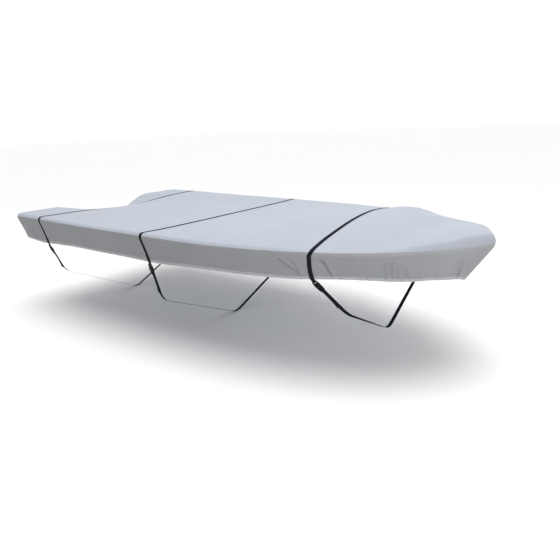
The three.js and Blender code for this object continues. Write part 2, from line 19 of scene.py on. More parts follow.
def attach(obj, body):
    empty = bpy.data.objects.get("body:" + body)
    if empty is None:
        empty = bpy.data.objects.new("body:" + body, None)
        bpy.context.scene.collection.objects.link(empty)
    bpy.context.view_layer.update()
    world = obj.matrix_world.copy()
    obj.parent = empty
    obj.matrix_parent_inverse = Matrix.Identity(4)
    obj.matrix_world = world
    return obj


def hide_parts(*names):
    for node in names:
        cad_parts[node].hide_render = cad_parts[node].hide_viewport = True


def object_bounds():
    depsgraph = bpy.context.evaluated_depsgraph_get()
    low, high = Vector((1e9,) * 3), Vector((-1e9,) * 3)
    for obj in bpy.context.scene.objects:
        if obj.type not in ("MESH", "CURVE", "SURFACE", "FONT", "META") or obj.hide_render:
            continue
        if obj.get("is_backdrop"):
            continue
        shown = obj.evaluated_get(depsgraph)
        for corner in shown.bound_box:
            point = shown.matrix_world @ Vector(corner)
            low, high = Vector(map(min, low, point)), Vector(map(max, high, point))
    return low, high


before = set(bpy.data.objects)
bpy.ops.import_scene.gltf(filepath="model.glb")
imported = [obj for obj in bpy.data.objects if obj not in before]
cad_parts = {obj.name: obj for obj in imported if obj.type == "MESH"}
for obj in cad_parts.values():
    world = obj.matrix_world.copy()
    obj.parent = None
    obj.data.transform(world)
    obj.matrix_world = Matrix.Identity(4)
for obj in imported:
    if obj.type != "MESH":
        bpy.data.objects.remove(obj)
frame_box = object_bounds()
MM = 0.001
print("nodes in the frame:", len(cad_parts))

# %% [markdown]
# ## Camera, floor and light
#
# The cover is seen from off the starboard bow, a little above it. The camera comes first, because
# the view settles how fine each piece has to be. Its angles were worked out from the boat's
# parallel edges, which all run to the same far points.
#
# A white floor, a white wall and a few large soft lights do the rest. The light comes mostly from
# overhead, as in a studio with a lit ceiling, so the top is bright and the skirts fall into a soft
# shade, which shade painted into the skirts' colour deepens. A weaker light off the bow lifts the
# skirts there, and they darken towards the stern.

# %% Camera
def add_object(name, data):
    item = bpy.data.objects.new(name, data)
    bpy.context.scene.collection.objects.link(item)
    return item


camera = add_object("camera", bpy.data.cameras.new("camera"))
camera.data.lens = 35.0
camera.data.sensor_width = 36.0
camera.data.clip_end = 200.0
camera.location = (2.95, -3.06, 0.70)
camera.rotation_euler = [math.radians(angle) for angle in (73.612, 2.316, 39.499)]
bpy.context.scene.camera = camera
print("camera stands", round(camera.location.length, 2), "m from the middle of the cover")


# %% Floor
def plain_material(name, color, roughness):
    material = bpy.data.materials.new(name)
    material.use_nodes = True
    shader = material.node_tree.nodes["Principled BSDF"]
    shader.inputs["Base Color"].default_value = (*color, 1.0)
    shader.inputs["Roughness"].default_value = roughness
    return material


FLOOR_REACH, FLOOR_GAP = 60.0, 0.004
floor_height = frame_box[0][2] - FLOOR_GAP
corners = [(-1, -1), (1, -1), (1, 1), (-1, 1)]
floor_mesh = bpy.data.meshes.new("floor")
floor_corners = [(x * FLOOR_REACH, y * FLOOR_REACH, floor_height) for x, y in corners]
floor_mesh.from_pydata(floor_corners, [], [(0, 1, 2, 3)])
floor_mesh.materials.append(plain_material("pale_floor", (0.86, 0.86, 0.86), 0.9))
floor = add_object("floor", floor_mesh)
floor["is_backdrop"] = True
print("floor at", round(floor_height, 3), "m")


# %% Lights
def add_light(name, kind, place, aim, power, **settings):
    """A light at a place, turned towards an aim, with the settings of its kind."""
    light = add_object(name, bpy.data.lights.new(name, kind))
    light.data.energy = power
    for setting, value in settings.items():
        setattr(light.data, setting, value)
    light.location = place
    light.rotation_euler = (Vector(aim) - Vector(place)).to_track_quat("-Z", "Y").to_euler()


def studio_walls(back, front, facing_back):
    """A world that is bright behind the cover and dimmer on the camera's side."""
    world = bpy.data.worlds.new("studio")
    world.use_nodes = True
    nodes, links = world.node_tree.nodes, world.node_tree.links
    toward = nodes.new("ShaderNodeVectorMath")
    toward.operation = "DOT_PRODUCT"
    toward.inputs[1].default_value = Vector(facing_back).normalized()
    links.new(nodes.new("ShaderNodeTexCoord").outputs["Generated"], toward.inputs[0])
    blend = nodes.new("ShaderNodeMapRange")
    blend.interpolation_type = "SMOOTHSTEP"
    for socket, value in zip(("From Min", "From Max", "To Min", "To Max"), (0.1, 0.55, front, back)):
        blend.inputs[socket].default_value = value
    links.new(toward.outputs["Value"], blend.inputs["Value"])
    links.new(blend.outputs["Result"], nodes["Background"].inputs["Strength"])
    nodes["Background"].inputs["Color"].default_value = (1.0, 1.0, 1.0, 1.0)
    bpy.context.scene.world = world


add_light("ceiling_light", "SUN", (0.0, 0.0, 0.0), (0.0, 0.06, -1.0), 1.70, angle=math.radians(50.0))
add_light("key_light", "AREA", (0.6, 0.3, 4.2), (0.5, 0.0, 0.0), 74.0,
          shape="RECTANGLE", size=5.0, size_y=4.0)
add_light("bow_light", "AREA", (4.9, -2.7, 1.2), (1.2, -0.7, -0.1), 88.0,
          shape="RECTANGLE", size=1.0, size_y=1.0)
studio_walls(1.12, 0.36, (-0.636, 0.772, 0.0))
bpy.context.scene.view_settings.view_transform = "Standard"
print("lights:", [light.name for light in bpy.data.lights])

# %% [markdown]
# ## The form of the cover
#
# The cover follows the boat: wide and flat over the stern and the middle, drawn in and raised over
# the foredeck, and pointed at the stem. A cover maker would loft such a form from a few sections.
# So the form is a short table, one row for each section from the stern to the nose, and a smooth
# curve is read between the rows. Lengths in the tables are in millimetres.
#
# - The rim is rolled over the gunwale at `roll_radius`, round a line at `roll_height`.
# - `crown` is the rise of the middle over the rim, and `fullness` how round it is.
# - `seam` is the angle of the seam on the roll, and `flare` the lean of the skirt, in degrees.
# - `hem` is the height of the skirt's lower edge.


# %% A table that is read smoothly
class Table:
    """Rows of numbers with named columns, sorted by x."""

    def __init__(self, columns, rows):
        self.columns = columns.split()
        self.rows = np.array(rows, float)
        self.first, self.last = self.rows[0, 0], self.rows[-1, 0]

    def read(self, x, column):
        stations, values = self.rows[:, 0], self.rows[:, self.columns.index(column)]
        rows = np.arange(len(values))
        before, after = np.maximum(rows - 1, 0), np.minimum(rows + 1, len(values) - 1)
        slopes = (values[after] - values[before]) / (stations[after] - stations[before])
        x = np.clip(np.asarray(x, float), self.first, self.last)
        k = np.clip(np.searchsorted(stations, x) - 1, 0, len(stations) - 2)
        span = stations[k + 1] - stations[k]
        t = (x - stations[k]) / span
        rise = values[k + 1] - values[k]
        curve = (slopes[k] * (1 - t) - slopes[k + 1] * t) * span + rise * (2 * t - 1)
        return values[k] + rise * t + t * (1 - t) * curve


# %% Sections from the stern to the nose
SECTIONS = Table("x half_beam roll_radius roll_height crown fullness seam flare hem", [
    [-1960, 895, 30, -24, -2, 2.0, 26, 19, -203],
    [-1770, 895, 30, -23, -3, 2.0, 27, 16.5, -214],
    [-1545, 896, 30, -23, -4, 2.0, 29.5, 16, -228],
    [-1360, 897, 30, -25, -3, 2.0, 32, 16, -218],
    [-1060, 897, 30, -28, -2, 2.0, 34.5, 16, -206],
    [-700, 895, 30, -30, -1, 2.0, 36.5, 16, -205],
    [-370, 888, 30, -30, -3, 2.0, 35.5, 16, -205],
    [-158, 882, 30, -30, -6, 2.0, 34.5, 16, -209],
    [80, 874, 30, -30, 6, 2.0, 31.5, 16, -206],
    [310, 864, 30, -30, 20, 2.0, 30, 16.5, -196],
    [530, 845, 30, -29, 42, 2.0, 30, 17.5, -192],
    [730, 817, 30, -28, 66, 1.9, 30, 19, -193],
    [920, 777, 30, -27, 91, 1.9, 31, 21, -195],
    [1090, 731, 30, -28, 115, 1.8, 36, 23, -192],
    [1240, 683, 30, -29, 133, 1.8, 42, 24.5, -183],
    [1370, 630, 30, -30, 146, 1.8, 48, 26, -180],
    [1480, 573, 31, -29, 114, 1.9, 48, 27.5, -184],
    [1590, 498, 35, -26, 60, 2.0, 39.5, 29, -197],
    [1690, 410, 43, -22, 38, 2.1, 26, 30.5, -206],
    [1770, 328, 51, -19, 33, 2.2, 17.5, 31.5, -208],
    [1840, 245, 58, -16, 22, 2.2, 13, 32.5, -217],
    [1886, 160, 64, -12, 8, 2.2, 6, 33, -228],
])
STEM = {"roll_radius": 60, "roll_height": -14, "seam": 9, "flare": 36, "hem": -254}
TRANSOM_X, MAX_HALF_BEAM, CORNER_RADIUS = -1912, 895, 80
NOSE_TIP_X, NOSE_HALF_WIDTH, NOSE_SLOPE, NOSE_ROUNDING = 1955, 160, 0.6, 50
NOSE_X = SECTIONS.last
print(len(SECTIONS.rows), "sections,", (NOSE_TIP_X - TRANSOM_X) / 1000, "m from transom to nose")

# %% [markdown]
# ## The hollow at the stern
#
# The middle of the transom is cut down for the motor, so the cloth sinks there between the two
# stern quarters. A second table gives the depth of the hollow and the half widths of its floor and
# its mouth. A smooth step between those two widths makes its soft sides.


# %% Depth of the hollow
def smooth_step(value):
    t = np.clip(value, 0, 1)
    return t * t * (3 - 2 * t)


DIPS = Table("x depth floor mouth", [
    [-2000, 132, 160, 510],
    [-1880, 118, 140, 520],
    [-1700, 74, 60, 550],
    [-1545, 36, 0, 620],
    [-1400, 10, 0, 700],
    [-1250, 0, 0, 700],
])


def dip_at(x, y):
    floor_width, mouth = DIPS.read(x, "floor"), DIPS.read(x, "mouth")
    share = 1 - smooth_step((np.abs(y) - floor_width) / (mouth - floor_width))
    return np.maximum(DIPS.read(x, "depth"), 0) * share


print("deepest hollow:", round(float(dip_at(TRANSOM_X, 0)), 1), "mm at the transom")

# %% [markdown]
# ## Places round the rim
#
# Every piece of cloth starts from the rim, so the rim is worked out once. A place on it has a plan
# position, the direction it faces, and the sizes of its section. Sides, rounded stern corners,
# transom and nose each have their own rule, and they meet end to end.


# %% Rim places
class Named(dict):
    """A dictionary whose values can be read by name, as in places.x."""

    __getattr__ = dict.__getitem__


def unit(vectors):
    return vectors / np.maximum(np.linalg.norm(vectors, axis=-1, keepdims=True), 1e-9)


def rim_places(x, y, outward, section, lean=None, mark=None):
    """Named arrays, with one value for each place."""
    x, y = np.asarray(x, float), np.asarray(y, float)
    outward = unit(outward)
    places = Named({name: np.broadcast_to(np.asarray(value, float), x.shape)
                    for name, value in section.items()})
    inner = np.maximum(places.half_beam - places.roll_radius, 1)
    slope = np.maximum(places.crown * places.fullness / inner, 0)
    places.update(x=x, y=y, outward=outward, lean=outward if lean is None else lean)
    places.update(start=np.radians(90) - np.arctan(slope), middle=np.radians(places.seam))
    places.update(end=-np.radians(places.flare))
    places.update(mark=np.full(x.shape, np.nan) if mark is None else mark)
    return places


def section_at(x):
    return Named({column: SECTIONS.read(x, column) for column in SECTIONS.columns})


def side_places(x, side):
    x = np.asarray(x, float)
    ahead = np.minimum(x + 1, NOSE_X)
    slope = (SECTIONS.read(ahead, "half_beam") - SECTIONS.read(ahead - 2, "half_beam")) / 2
    outward = np.stack([-slope, np.full(x.shape, float(side))], axis=1)
    section = section_at(x)
    return rim_places(x, side * section.half_beam, outward, section, mark=x)


def corner_places(angles, side):
    sine, cosine = np.sin(angles), np.cos(angles)
    x = TRANSOM_X + CORNER_RADIUS * (1 - sine)
    y = side * (MAX_HALF_BEAM - CORNER_RADIUS * (1 - cosine))
    return rim_places(x, y, np.stack([-sine, side * cosine], axis=1), section_at(TRANSOM_X))


def transom_places(y):
    section = section_at(TRANSOM_X)
    dip = dip_at(TRANSOM_X, y)
    lowered = {"roll_height": section.roll_height - dip, "hem": section.hem - dip / 2}
    facing = np.tile([-1.0, 0.0], (len(y), 1))
    return rim_places(np.full(len(y), TRANSOM_X), y, facing, {**section, **lowered})


def nose_places(y):
    section = section_at(NOSE_X)
    reach = np.hypot(y, NOSE_ROUNDING)
    share = np.abs(y) / NOSE_HALF_WIDTH
    blended = {name: size + (section[name] - size) * share for name, size in STEM.items()}
    facing = np.stack([np.ones_like(y), NOSE_SLOPE * y / reach], axis=1)
    full_reach = np.hypot(NOSE_HALF_WIDTH, NOSE_ROUNDING)
    lean = np.stack([np.ones_like(y), NOSE_SLOPE * y / full_reach], axis=1)
    x = NOSE_TIP_X - NOSE_SLOPE * (reach - NOSE_ROUNDING)
    past_side = NOSE_X + math.hypot(1, NOSE_SLOPE) * (NOSE_HALF_WIDTH - np.abs(y))
    mark = np.where(y < 0, past_side, np.nan)
    return rim_places(x, y, facing, {**section, **blended}, lean=unit(lean), mark=mark)


def joined(*groups):
    return Named({name: np.concatenate([group[name] for group in groups]) for name in groups[0]})


print("rim at the middle:", side_places([0.0], 1).y.round(1), "mm off the centre plane")

# %% [markdown]
# ## Creases, gathers and slack
#
# Cloth that is pulled over a boat is never even. Where the skirt has to turn round the bow it has
# more cloth than it needs, and the spare goes into slanting creases. The stitching of the hem draws
# it up in small gathers. The top is tight, with only a little slack between the straps.
#
# Each crease is a line on the skirt, by its place along the boat and its drop below the rim, with a
# width and a depth. A fold is a trough with a ridge along one side of it, which is what makes one
# edge of it catch the light. Each strap holds the cloth flat near it, and pulls the top down. Where
# the top has no support it sinks in a few shallow hollows. The gathers and the slack are sums of a
# few waves of uneven length, taken from a seeded list so that they come out the same each time.

# %% Creases in the side skirts
CREASES = [
    [984, 32, 1093, 128, 26, 8],
    [1062, 44, 1096, 96, 20, 5],
    [1190, 70, 1225, 163, 18, 5],
    [1245, 26, 1280, 128, 20, 8],
    [1548, 40, 1556, 160, 22, 4],
    [1580, 35, 1590, 160, 20, 5],
    [1607, 50, 1618, 150, 18, 4],
    [1637, 75, 1667, 174, 20, 5],
    [1853, 108, 1864, 190, 18, 6],
    [1866, 62, 1893, 203, 20, 7],
]
TROUGH, RIDGE, RIDGE_OFFSET = 1.5, 0.9, 1.5
CREASE_FADE = 20
CREASE_TIGHTNESS = 0.64
SHOULDER = 4.5
STRAP_WIDTH = 25
STRAPS = {
    "stern": Named(near=-1465, far=-1540, slant=0, pull=2, lean=-4, bow=0,
                   chine=(-1462, 733, -490), keel=(-1500, -830)),
    "middle": Named(near=-105, far=-152, slant=0, pull=2, lean=-14, bow=0,
                    chine=(-105, 755, -510), keel=(-128, -830)),
    "bow": Named(near=1195, far=1170, slant=-20, pull=10, lean=0, bow=-18,
                 chine=(1287, 482, -426), keel=(1296, -671)),
}
HOLLOWS = [
    [1440, 270, 75, 300, 21],
    [1700, 230, 110, 200, 9],
    [1880, 90, 60, 130, 15],
]


def strap_hold(mark):
    away = np.min([np.abs(mark - strap.near) for strap in STRAPS.values()], axis=0)
    return smooth_step((away - STRAP_WIDTH) / CREASE_FADE)


def crease_depth(mark, drop):
    total = np.zeros(np.broadcast(mark, drop).shape)
    for x1, drop1, x2, drop2, width, depth in CREASES:
        run = np.array([x2 - x1, drop2 - drop1])
        share = np.clip(((mark - x1) * run[0] + (drop - drop1) * run[1]) / (run @ run), 0, 1)
        off_x, off_drop = mark - x1 - share * run[0], drop - drop1 - share * run[1]
        away = np.hypot(off_x, off_drop) / (CREASE_TIGHTNESS * width)
        side = np.sign(off_x * run[1] - off_drop * run[0])
        ridge = RIDGE * np.exp(-2 * (side * away - RIDGE_OFFSET) ** 2)
        fold = TROUGH * np.exp(-2 * away**2) - ridge
        total = total + depth * fold
    return np.where(np.isnan(total), 0, total * strap_hold(mark))


print(len(CREASES), "creases, the deepest", max(crease[-1] for crease in CREASES), "mm")

# %% Gathers and slack
wave_seed = np.random.default_rng(7)


def wave_list(count, shortest, longest):
    """Rows of wave number along x and along y, and phase."""
    length = wave_seed.uniform(shortest, longest, count)
    turn = wave_seed.uniform(-0.6, 0.6, count)
    phase = wave_seed.uniform(0, 2 * np.pi, count)
    number = 2 * np.pi / length
    return np.stack([number * np.cos(turn), number * np.sin(turn), phase], axis=1)


def waves(table, x, y):
    return sum(np.sin(kx * x + ky * y + phase) for kx, ky, phase in table) / math.sqrt(len(table))


GATHER_WAVES = wave_list(7, 34, 110)
SKIRT_WAVES = wave_list(6, 160, 520)
SLACK_WAVES = wave_list(8, 260, 900)
GATHER_DEPTH, GATHER_HEIGHT, GATHER_SPREAD = 1.5, 28, 34
SLOW_DEPTH, SLACK_DEPTH = 2.0, 2.2
EDGE_FADE, NOSE_FADE, FURROW_FADE, HOLLOW_FADE = 160, 220, 300, 90
FURROW_WIDTH, FURROW_SPREAD = 26, 4.5
HEM_HOLD, HEM_HOLD_HEIGHT = 0.7, 50
print("gathers from", round(2 * np.pi / GATHER_WAVES[:, 0].max()), "mm apart")

# %% [markdown]
# ## Points on the cloth
#
# Three rules give every point of the cloth. The roll turns round the gunwale. The skirt goes on
# from the end of the roll in a straight slope, less its creases and gathers. The top spans from roll
# to roll over the crown, less the hollow at the stern. The straps are laid with the same rules, a
# little further out, so they follow the cloth exactly.


# %% Roll, skirt and top
def shoulder_at(places, angle):
    """The firm shoulder of the roll on the starboard bow, in mm beyond the round."""
    turned = (places.start[:, None] - angle) / (places.start - places.middle)[:, None]
    bow = smooth_step((places.x - 1660) / 190) * smooth_step(-places.y / 60)
    return SHOULDER * bow[:, None] * np.exp(-(((turned - 0.32) / 0.2) ** 2))


def roll_points(places, angle, offset=0.0):
    radius = places.roll_radius[:, None] + shoulder_at(places, angle) + offset
    out = radius * np.cos(angle) - places.roll_radius[:, None]
    x = places.x[:, None] + places.outward[:, :1] * out
    y = places.y[:, None] + places.outward[:, 1:] * out
    return np.stack([x, y, places.roll_height[:, None] + radius * np.sin(angle)], axis=2)


def skirt_length(places):
    top = places.roll_height + places.roll_radius * np.sin(places.end)
    return (top - places.hem) / np.cos(places.end)


def skirt_relief(places, length, reach, along_rim):
    """How far the skirt stands out, from its gathers and slow waves, on top of its creases."""
    above_hem = np.maximum(reach - length, 0)
    near_hem = np.exp(-((above_hem - GATHER_HEIGHT) / GATHER_SPREAD) ** 2)
    gather = GATHER_DEPTH * waves(GATHER_WAVES, along_rim, length) * near_hem
    slow = SLOW_DEPTH * waves(SKIRT_WAVES, along_rim, length)
    slow = slow * smooth_step(length / 120) * smooth_step(above_hem / 90 + 0.3)
    mark = places.mark[:, None]
    hold = np.where(np.isnan(mark), 1.0, strap_hold(mark))
    return (gather + slow) * hold


def skirt_points(places, length, offset=0.0, along_rim=None):
    reach = skirt_length(places)[:, None]
    held_by_hem = 1 - HEM_HOLD * (1 - smooth_step((reach - length) / HEM_HOLD_HEIGHT))
    push = offset - crease_depth(places.mark[:, None], length) * held_by_hem
    if along_rim is not None:
        push = push + skirt_relief(places, length, reach, along_rim[:, None])
    points = roll_points(places, places.end[:, None], push)
    inward = length * np.sin(places.end)[:, None]
    points[..., 0] += places.lean[:, :1] * inward
    points[..., 1] += places.lean[:, 1:] * inward
    points[..., 2] -= length * np.cos(places.end)[:, None]
    return points


def strap_x(strap, across):
    """Where a strap lies on the top, from the starboard rim at 0 to the port rim at 1."""
    return strap.near + strap.lean * (1 - across) + (strap.far - strap.near) * across


def slack_at(x, y, half_width):
    """Slow waves in the top, less the furrow under each strap, and nothing at the edges."""
    from_edge = half_width - np.abs(y)
    along = smooth_step((x - TRANSOM_X) / EDGE_FADE) * smooth_step((NOSE_X - 60 - x) / NOSE_FADE)
    slack = SLACK_DEPTH * waves(SLACK_WAVES, x, 0.6 * y) * smooth_step(from_edge / EDGE_FADE) * along
    for strap in STRAPS.values():
        centre = strap_x(strap, (y / half_width + 1) / 2)
        width = FURROW_WIDTH + FURROW_SPREAD * strap.pull
        furrow = strap.pull * np.exp(-(((x - centre) / width) ** 2))
        slack = slack - furrow * smooth_step(from_edge / FURROW_FADE)
    for hollow_x, hollow_y, length, width, depth in HOLLOWS:
        sunk = np.exp(-(((x - hollow_x) / length) ** 2) - ((y - hollow_y) / width) ** 2)
        slack = slack - depth * sunk * smooth_step(from_edge / HOLLOW_FADE)
    return slack


def top_points(places, fraction, lift=0.0):
    edge = roll_points(places, places.start[:, None])
    x = np.broadcast_to(edge[..., 0], np.broadcast(edge[..., 0], fraction).shape)
    y = np.abs(edge[..., 1]) * fraction
    rise = places.crown[:, None] * (1 - np.abs(fraction) ** places.fullness[:, None])
    slack = slack_at(x, y, np.abs(edge[..., 1]))
    return np.stack([x, y, edge[..., 2] + rise - dip_at(x, y) + slack + lift], axis=2)


middle = side_places([0.0], 1)
crest = top_points(middle, np.zeros((1, 1)))[0, 0]
print("middle section: skirt", skirt_length(middle).round(0), "mm, top", crest.round(0))

# %% [markdown]
# ## Turning a surface into cloth
#
# A surface has no thickness, and real cloth has. The `thicken` helper shifts the surface a little
# each way along its normals, and walls the open edges, so each piece is one closed body. Both
# faces of a warped quad are cut on the same diagonal, or they would meet in the middle.
#
# Each point also carries its place on the flat cloth in metres, as a UV. The weave is drawn on the
# UV, so its threads run along the cut of the cloth and keep their size.


# %% Closed sheets from quads
def quad_corners(row_count, column_count, first=0):
    a = first + np.arange(row_count - 1)[:, None] * column_count + np.arange(column_count - 1)
    return np.stack([a, a + column_count, a + column_count + 1, a + 1], axis=2).reshape(-1, 4)


def face_normals(points, quads):
    a, b, c, d = (points[quads[:, k]] for k in range(4))
    across = np.cross(c - a, d - b)
    normals = np.zeros_like(points)
    for k in range(4):
        np.add.at(normals, quads[:, k], across)
    return unit(normals)


def thicken(points, quads, half):
    """Points and triangles of a closed sheet, with half its thickness at each point."""
    count = len(points)
    shift = face_normals(points, quads) * np.broadcast_to(half, count)[:, None]
    both = np.concatenate([points + shift, points - shift])
    a, b, c, d = quads.T
    upper = np.concatenate([quads[:, [0, 1, 2]], quads[:, [0, 2, 3]]])
    lower = np.concatenate([quads[:, [2, 1, 0]], quads[:, [3, 2, 0]]]) + count
    starts, ends = np.concatenate([a, b, c, d]), np.concatenate([b, c, d, a])
    open_edge = ~np.isin(starts * count + ends, ends * count + starts)
    s, e = starts[open_edge], ends[open_edge]
    walls = np.concatenate([np.stack([e, s, s + count], 1), np.stack([e, s + count, e + count], 1)])
    return both, np.concatenate([upper, lower, walls])


def make_piece(name, points, triangles, uv, material, sharp_angle=50.0, painted_light=None):
    """A mesh object in metres, from millimetres, with a UV and a painted light value for each point."""
    mesh = bpy.data.meshes.new(name)
    mesh.from_pydata((points * MM).tolist(), [], triangles.tolist())
    layer = mesh.uv_layers.new(name="cloth")
    layer.data.foreach_set("uv", (uv * MM)[triangles.reshape(-1)].astype(np.float32).reshape(-1))
    if painted_light is not None:
        mesh.attributes.new("painted_light", "FLOAT", "POINT").data.foreach_set("value", painted_light.astype(np.float32))
    mesh.materials.append(material)
    mesh.shade_smooth()
    mesh.set_sharp_from_angle(angle=math.radians(sharp_angle))
    return add_object(name, mesh)


def cloth_piece(name, points, quads, half, uv, material, painted_light=None):
    solid, triangles = thicken(points, quads, half)
    # The painted light and shade of each point, once for each face of the sheet.
    wear_and_painted_light = None if painted_light is None else np.tile(painted_light, 2)
    piece = make_piece(name, solid, triangles, np.tile(uv, (2, 1)), material, painted_light=wear_and_painted_light)
    print(name, "has", len(triangles), "triangles")
    return piece

# %% [markdown]
# ## The cloth's finish
#
# The cover is woven polyester with a thin coating. Up close it is a plain weave of fine threads;
# from a step away it is an even, slightly silky grey. The weave is a height made of two sets of
# rounded threads, warp and weft, that take turns on top by a checker. It is drawn on the UV, in
# metres, so no picture file is needed.
#
# A flat grey would look like paper. Slow noise shifts the tone a little, as coated cloth does where
# it has been folded and handled, finer noise makes some threads thicker, and a soft bump gives
# the crumple that no cover loses. Light and shade are painted into the colour as well. A value on
# each point makes the colour patchily paler: a painted highlight along the seam's lapped edge,
# painted light on the skirt just below the seam, fading down the roll, and painted light from the
# floor on the hem. Below nothing it paints shade, which greys the broad roll round the bow down to
# the tone of the skirts. The top and the skirts share the recipe with their own tones. The skirts'
# darker tones are painted shade, because they are the same cloth as the top.


# %% Node helpers
class Finish:
    """A material, with one short method for each kind of node that it needs."""

    def __init__(self, name, constants):
        self.material = bpy.data.materials.new(name)
        self.material.use_nodes = True
        self.tree = self.material.node_tree
        self.shader = self.tree.nodes["Principled BSDF"]
        self.place = self.tree.nodes.new("ShaderNodeTexCoord").outputs
        self.feed(self.shader, constants)

    def feed(self, node, values):
        """Links an output to a socket, or sets a plain value on it."""
        for socket, value in values.items():
            if isinstance(value, bpy.types.NodeSocket):
                self.tree.links.new(value, node.inputs[socket])
            else:
                node.inputs[socket].default_value = value

    def node(self, kind, values, output=0, **settings):
        node = self.tree.nodes.new("ShaderNode" + kind)
        for setting, value in settings.items():
            setattr(node, setting, value)
        self.feed(node, values)
        return node.outputs[output]

    def math(self, operation, *values):
        return self.node("Math", dict(enumerate(values)), operation=operation)

    def noise(self, vector, scale, detail=3.0, roughness=0.55):
        values = {"Vector": vector, "Scale": scale, "Detail": detail, "Roughness": roughness}
        return self.node("TexNoise", values, "Fac")

    def ramp(self, factor, *stops):
        color = self.node("ValToRGB", {0: factor}, "Color")
        elements = color.node.color_ramp.elements
        while len(elements) < len(stops):
            elements.new(0.5)
        for element, (place, shade) in zip(elements, stops):
            element.position, element.color = place, (*shade, 1.0)
        return color

    def mix(self, factor, first, second, **settings):
        return self.node("Mix", {0: factor, 6: first, 7: second}, 2, data_type="RGBA", **settings)

    def bump(self, height, distance, strength, **under):
        values = {"Height": height, "Distance": distance, "Strength": strength, **under}
        return self.node("Bump", values)

    def ribs(self, along, pitch):
        """Rounded ridges at an even pitch, from 0 to 1."""
        turned = self.math("MULTIPLY", along, math.pi / pitch)
        return self.math("ABSOLUTE", self.math("SINE", turned))

    def done(self, color, roughness, normal):
        self.feed(self.shader, {"Base Color": color, "Roughness": roughness, "Normal": normal})
        return self.material


# %% A plain weave
def plain_weave(cloth, pitch):
    """Height of a plain weave, from 0 to 1: warp and weft threads that take turns on top."""
    uv = cloth.place["UV"]
    split = cloth.node("SeparateXYZ", {0: uv}).node.outputs
    warp_on_top = cloth.node("TexChecker", {"Vector": uv, "Scale": 1.0 / pitch}, "Fac")
    weft_on_top = cloth.math("SUBTRACT", 1.0, warp_on_top)
    warp = cloth.math("MULTIPLY", cloth.ribs(split["X"], pitch), warp_on_top)
    weft = cloth.math("MULTIPLY", cloth.ribs(split["Y"], pitch), weft_on_top)
    return cloth.math("ADD", warp, weft)


# %% The cloth of the top and the skirts
# Painted tones: a pale tone for painted highlights and painted light, and the skirts' darker tone for
# painted shade.
PAINTED_LIGHT_TONE, PAINTED_SHADE_TONE = (0.60, 0.61, 0.63, 1.0), (0.236, 0.242, 0.255, 1.0)
THREAD_PITCH = 0.0007


def cover_cloth(name, dark, middle_tone, light):
    cloth = Finish(name, {"Specular IOR Level": 0.35, "Sheen Weight": 0.12, "Sheen Roughness": 0.5})
    spot, weave = cloth.place["Object"], plain_weave(cloth, THREAD_PITCH)
    handled, slubs = cloth.noise(spot, 2.2, 4.0, 0.6), cloth.noise(spot, 140.0, 2.0)
    tone = cloth.math("ADD", cloth.math("MULTIPLY", handled, 0.8), cloth.math("MULTIPLY", slubs, 0.2))
    color = cloth.ramp(tone, (0.30, dark), (0.52, middle_tone), (0.74, light))
    # The gaps between threads are drawn darker: painted shade between the threads.
    painted_shade_in_gaps = cloth.ramp(weave, (0.0, (0.80, 0.80, 0.81)), (0.55, (1.0, 1.0, 1.0)))
    color = cloth.mix(1.0, color, painted_shade_in_gaps, blend_type="MULTIPLY")
    # Painted light: where a point's value is above nothing, the colour goes patchily paler.
    painted_light = cloth.node("Attribute", {}, "Fac", attribute_name="painted_light")
    painted_light_share = cloth.math("MULTIPLY", painted_light, cloth.noise(spot, 45.0, 3.0, 0.6))
    color = cloth.mix(painted_light_share, color, PAINTED_LIGHT_TONE)
    # Painted shade: where a point's value is below nothing, the colour goes towards the skirts' tone.
    color = cloth.mix(cloth.math("MULTIPLY", painted_light, -1.0), color, PAINTED_SHADE_TONE)
    crumple = cloth.bump(cloth.noise(spot, 9.0, 5.0, 0.5), 0.010, 0.20)
    ripples = cloth.bump(cloth.noise(spot, 55.0, 2.0, 0.5), 0.0012, 0.25, Normal=crumple)
    rough = cloth.math("MULTIPLY_ADD", handled, 0.18, 0.56)
    return cloth.done(color, rough, cloth.bump(weave, 0.0002, 0.45, Normal=ripples))


# The skirts are the same cloth as the top. Their darker tones are painted shade, for the shade the
# skirts stand in.
top_cloth = cover_cloth(
    "top_cloth", (0.345, 0.377, 0.437), (0.369, 0.402, 0.464), (0.393, 0.427, 0.490))
skirt_cloth = cover_cloth(
    "skirt_cloth", (0.214, 0.220, 0.233), (0.236, 0.242, 0.255), (0.258, 0.264, 0.277))
print("cloth materials:", top_cloth.name, skirt_cloth.name)

# %% [markdown]
# ## The top
#
# The top is cut in one piece and pulled over the gunwales. It is made of rows across the cover, from
# the transom to the nose, with a ring of rolled cloth round them that ends at the seam. Its lower
# edge laps a few millimetres over the skirt, as a lapped seam does, and stands out by the
# thickness of the skirt under it.
#
# The first row lies along the transom and the last along the nose, so the points of a row are set
# to match the rounded corners at the stern, and spread to even steps towards the nose.

# %% Stations and the columns of the top
CLOTH_HALF = 0.5
SEAM_LAP, SEAM_TUCK, LAP_LIFT = 5.0, 9.0, 1.15
CORNER_STEPS, INNER_STEPS = 8, 30
EVEN_FROM = 1400
RING_SHARES = [*np.linspace(0, 1, 8)[1:], 1.0]
# The last two rows of the ring, along the seam's lapped edge, are painted paler: a painted highlight.
RING_PAINTED_HIGHLIGHT = [0, 0, 0, 0, 0, 0, 0.45, 0.7]
# From here towards the nose, the roll is painted darker down to the seam instead: painted shade.
PAINTED_SHADE_START, PAINTED_SHADE_FADE, PAINTED_SHADE_SHARE = 1480, 330, 0.42
aft_stations = np.arange(TRANSOM_X + CORNER_RADIUS, 900, 9.0)
SIDE_STATIONS = np.concatenate([aft_stations, np.arange(900, NOSE_X, 7.0), [NOSE_X]])

